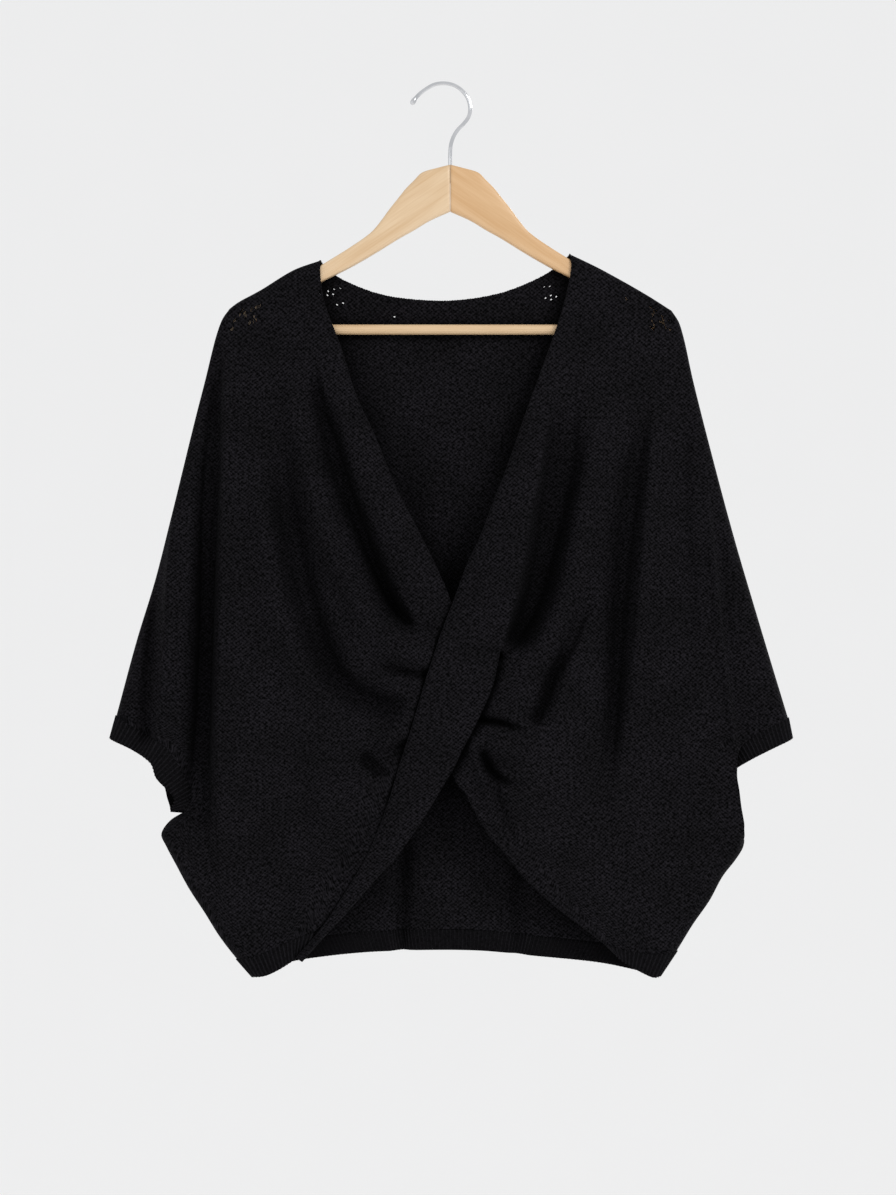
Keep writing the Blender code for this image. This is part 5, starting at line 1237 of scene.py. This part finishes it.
def makeStudio():
    camera = bpy.data.cameras.new("camera")
    camera.sensor_width = studio["sensor"]
    camera.lens = studio["sensor"] * studio["distance"] / studio["frameTall"]
    eye = bpy.data.objects.new("camera", camera)
    eye.location = [studio["across"] * mm, -studio["distance"] * mm, studio["height"] * mm]
    eye.rotation_euler = (math.radians(90), 0, 0)
    bpy.context.scene.collection.objects.link(eye)
    bpy.context.scene.camera = eye
    bpy.context.scene.view_settings.view_transform = "Standard"

    back, low, side, top = [studio[key] for key in ("wallBack", "floor", "wallReach", "wallTop")]
    wallPaint = paint("wallPaint", studio["wallColour"], studio["wallRoughness"], studio["wallGlow"])
    wallPoints = np.array([(-side, back, low), (side, back, low), (side, back, top), (-side, back, top)])
    floorPoints = np.array([(-side, -side, low), (side, -side, low), (side, back, low), (-side, back, low)])
    wall = makeObject("studioWall", wallPoints, [[0, 1, 2, 3]], None, wallPaint)
    floor = makeObject("studioFloor", floorPoints, [[0, 1, 2, 3]], None, wallPaint)

    for row in lights:
        light = bpy.data.lights.new(row.name, "AREA")
        light.energy, light.size = row.power, row.size
        lamp = bpy.data.objects.new(row.name, light)
        lamp.location = [value * mm for value in row.place]
        aim = np.array([centre, 0, studio["aimHeight"]]) - np.array(row.place)
        lamp.rotation_euler = (math.atan2(math.hypot(aim[0], aim[1]), -aim[2]), 0, math.atan2(-aim[0], aim[1]))
        bpy.context.scene.collection.objects.link(lamp)

    world = bpy.data.worlds.new("softRoom")
    world.use_nodes = True
    world.node_tree.nodes["Background"].inputs[0].default_value = (*studio["worldColour"], 1)
    world.node_tree.nodes["Background"].inputs[1].default_value = studio["world"]
    bpy.context.scene.world = world


makeStudio()
print("studio made")

knitCloth = mossKnit()
ribYarn = plainYarn("ribYarn", yarn["ribDeep"], yarn["ribLit"], start=yarn["ribStart"])
# painted shade: the strips under the rib cords are darker than the cords, so the gaps between cords look shaded
ribShadeBedYarn = plainYarn("ribShadeBedYarn", yarn["deep"], yarn["ribGapShade"], start=yarn["ribStart"])
edgeYarn = plainYarn("edgeYarn", yarn["deep"], yarn["fluff"], shaded=False)

rightCloth, rightSheet = frontRight(knitCloth)
leftCloth, leftSheet, bandSheet = frontLeft(knitCloth)
backCloth, backSheet = wholeBack(knitCloth)
print("panels made")

strips = [makeRightCuff(rightSheet, backSheet, ribShadeBedYarn), makeLeftCuff(leftSheet, backSheet, ribShadeBedYarn)]
strips += makeHems(rightSheet, leftSheet, backSheet, ribShadeBedYarn)
cords = ribTree()
ribPieces = [grow(strip.name + "Ribs", lines, cords, ribYarn) for strip, lines in strips]
print("cuffs and hems made")


def rimLine(sheet, rows, columns):
    return 0.5 * (sheet[0][rows, columns] + sheet[1][rows, columns])


stitches = stitchTree()
turnColumn = panels["backShoulder"] * panels["backFiner"][1]
rightNeckRows = slice(0, panels["rightRows"][0] * panels["rightFiner"][0] - edging["neckRowsLeft"])
lowerStart = (panels["leftRows"][0] + 1) * panels["leftFiner"][0]
bound = {
    "rightNeckEdging": ([rimLine(rightSheet, rightNeckRows, -1)], rightCloth),
    "bandEdging": ([rimLine(bandSheet, slice(None), 0)], leftCloth),
    "lowerEdging": ([rimLine(leftSheet, slice(lowerStart, None), 0)], leftCloth),
    "backNeckEdging": ([rimLine(backSheet, 0, slice(turnColumn, -turnColumn))], backCloth),
}
edgings = {name: grow(name, lines, stitches, edgeYarn) for name, (lines, _) in bound.items()}
print("edges bound")

rightWood = woodGrain("rightArmWood", wood["rightTurn"], wood["rightColours"])
leftWood = woodGrain("leftArmWood", wood["leftTurn"], wood["leftColours"])
barWood = woodGrain("barWood", wood["barTurn"], wood["barColours"])
rightArm = makeArm("hangerRightArm", -1, rightWood)
leftArm = makeArm("hangerLeftArm", 1, leftWood)
hookWire = makeHook(polishedWire())
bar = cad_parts["hanger_bar"]
bar.data.materials.clear()
bar.data.materials.append(barWood)
print("hanger made")


def area(obj):
    return sum(polygon.area for polygon in obj.data.polygons) / 2


stripPieces = [strip for strip, _ in strips]
standsFor = {
    rightCloth: "right_front_panel", leftCloth: "left_front_panel", backCloth: "back_panel",
    stripPieces[0]: "right_cuff", stripPieces[1]: "left_cuff", stripPieces[2]: "right_front_hem",
    stripPieces[3]: "left_front_hem", stripPieces[4]: "back_hem",
    rightArm: "hanger_right_arm", leftArm: "hanger_left_arm", hookWire: "hanger_hook",
}
for piece in [*standsFor, *ribPieces, *edgings.values()]:
    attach(piece, "root")
for piece, cadNode in standsFor.items():
    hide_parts(cadNode)

cuts = {
    rightCloth: (0.37, 0.72), leftCloth: (0.42, 0.76), backCloth: (0.66, 0.66),
    stripPieces[0]: (0.24, 0.026), stripPieces[1]: (0.24, 0.026), stripPieces[2]: (0.075, 0.025),
    stripPieces[3]: (0.06, 0.026), stripPieces[4]: (0.43, 0.024),
}
goesWith = {piece: [grown] for piece, grown in zip(stripPieces, ribPieces)}
for name, (_, carrier) in bound.items():
    goesWith.setdefault(carrier, []).append(edgings[name])
for piece, flat in cuts.items():
    print(piece.name, "cloth area", round(area(piece), 4), "cut", round(flat[0] * flat[1], 4))

print("finished")
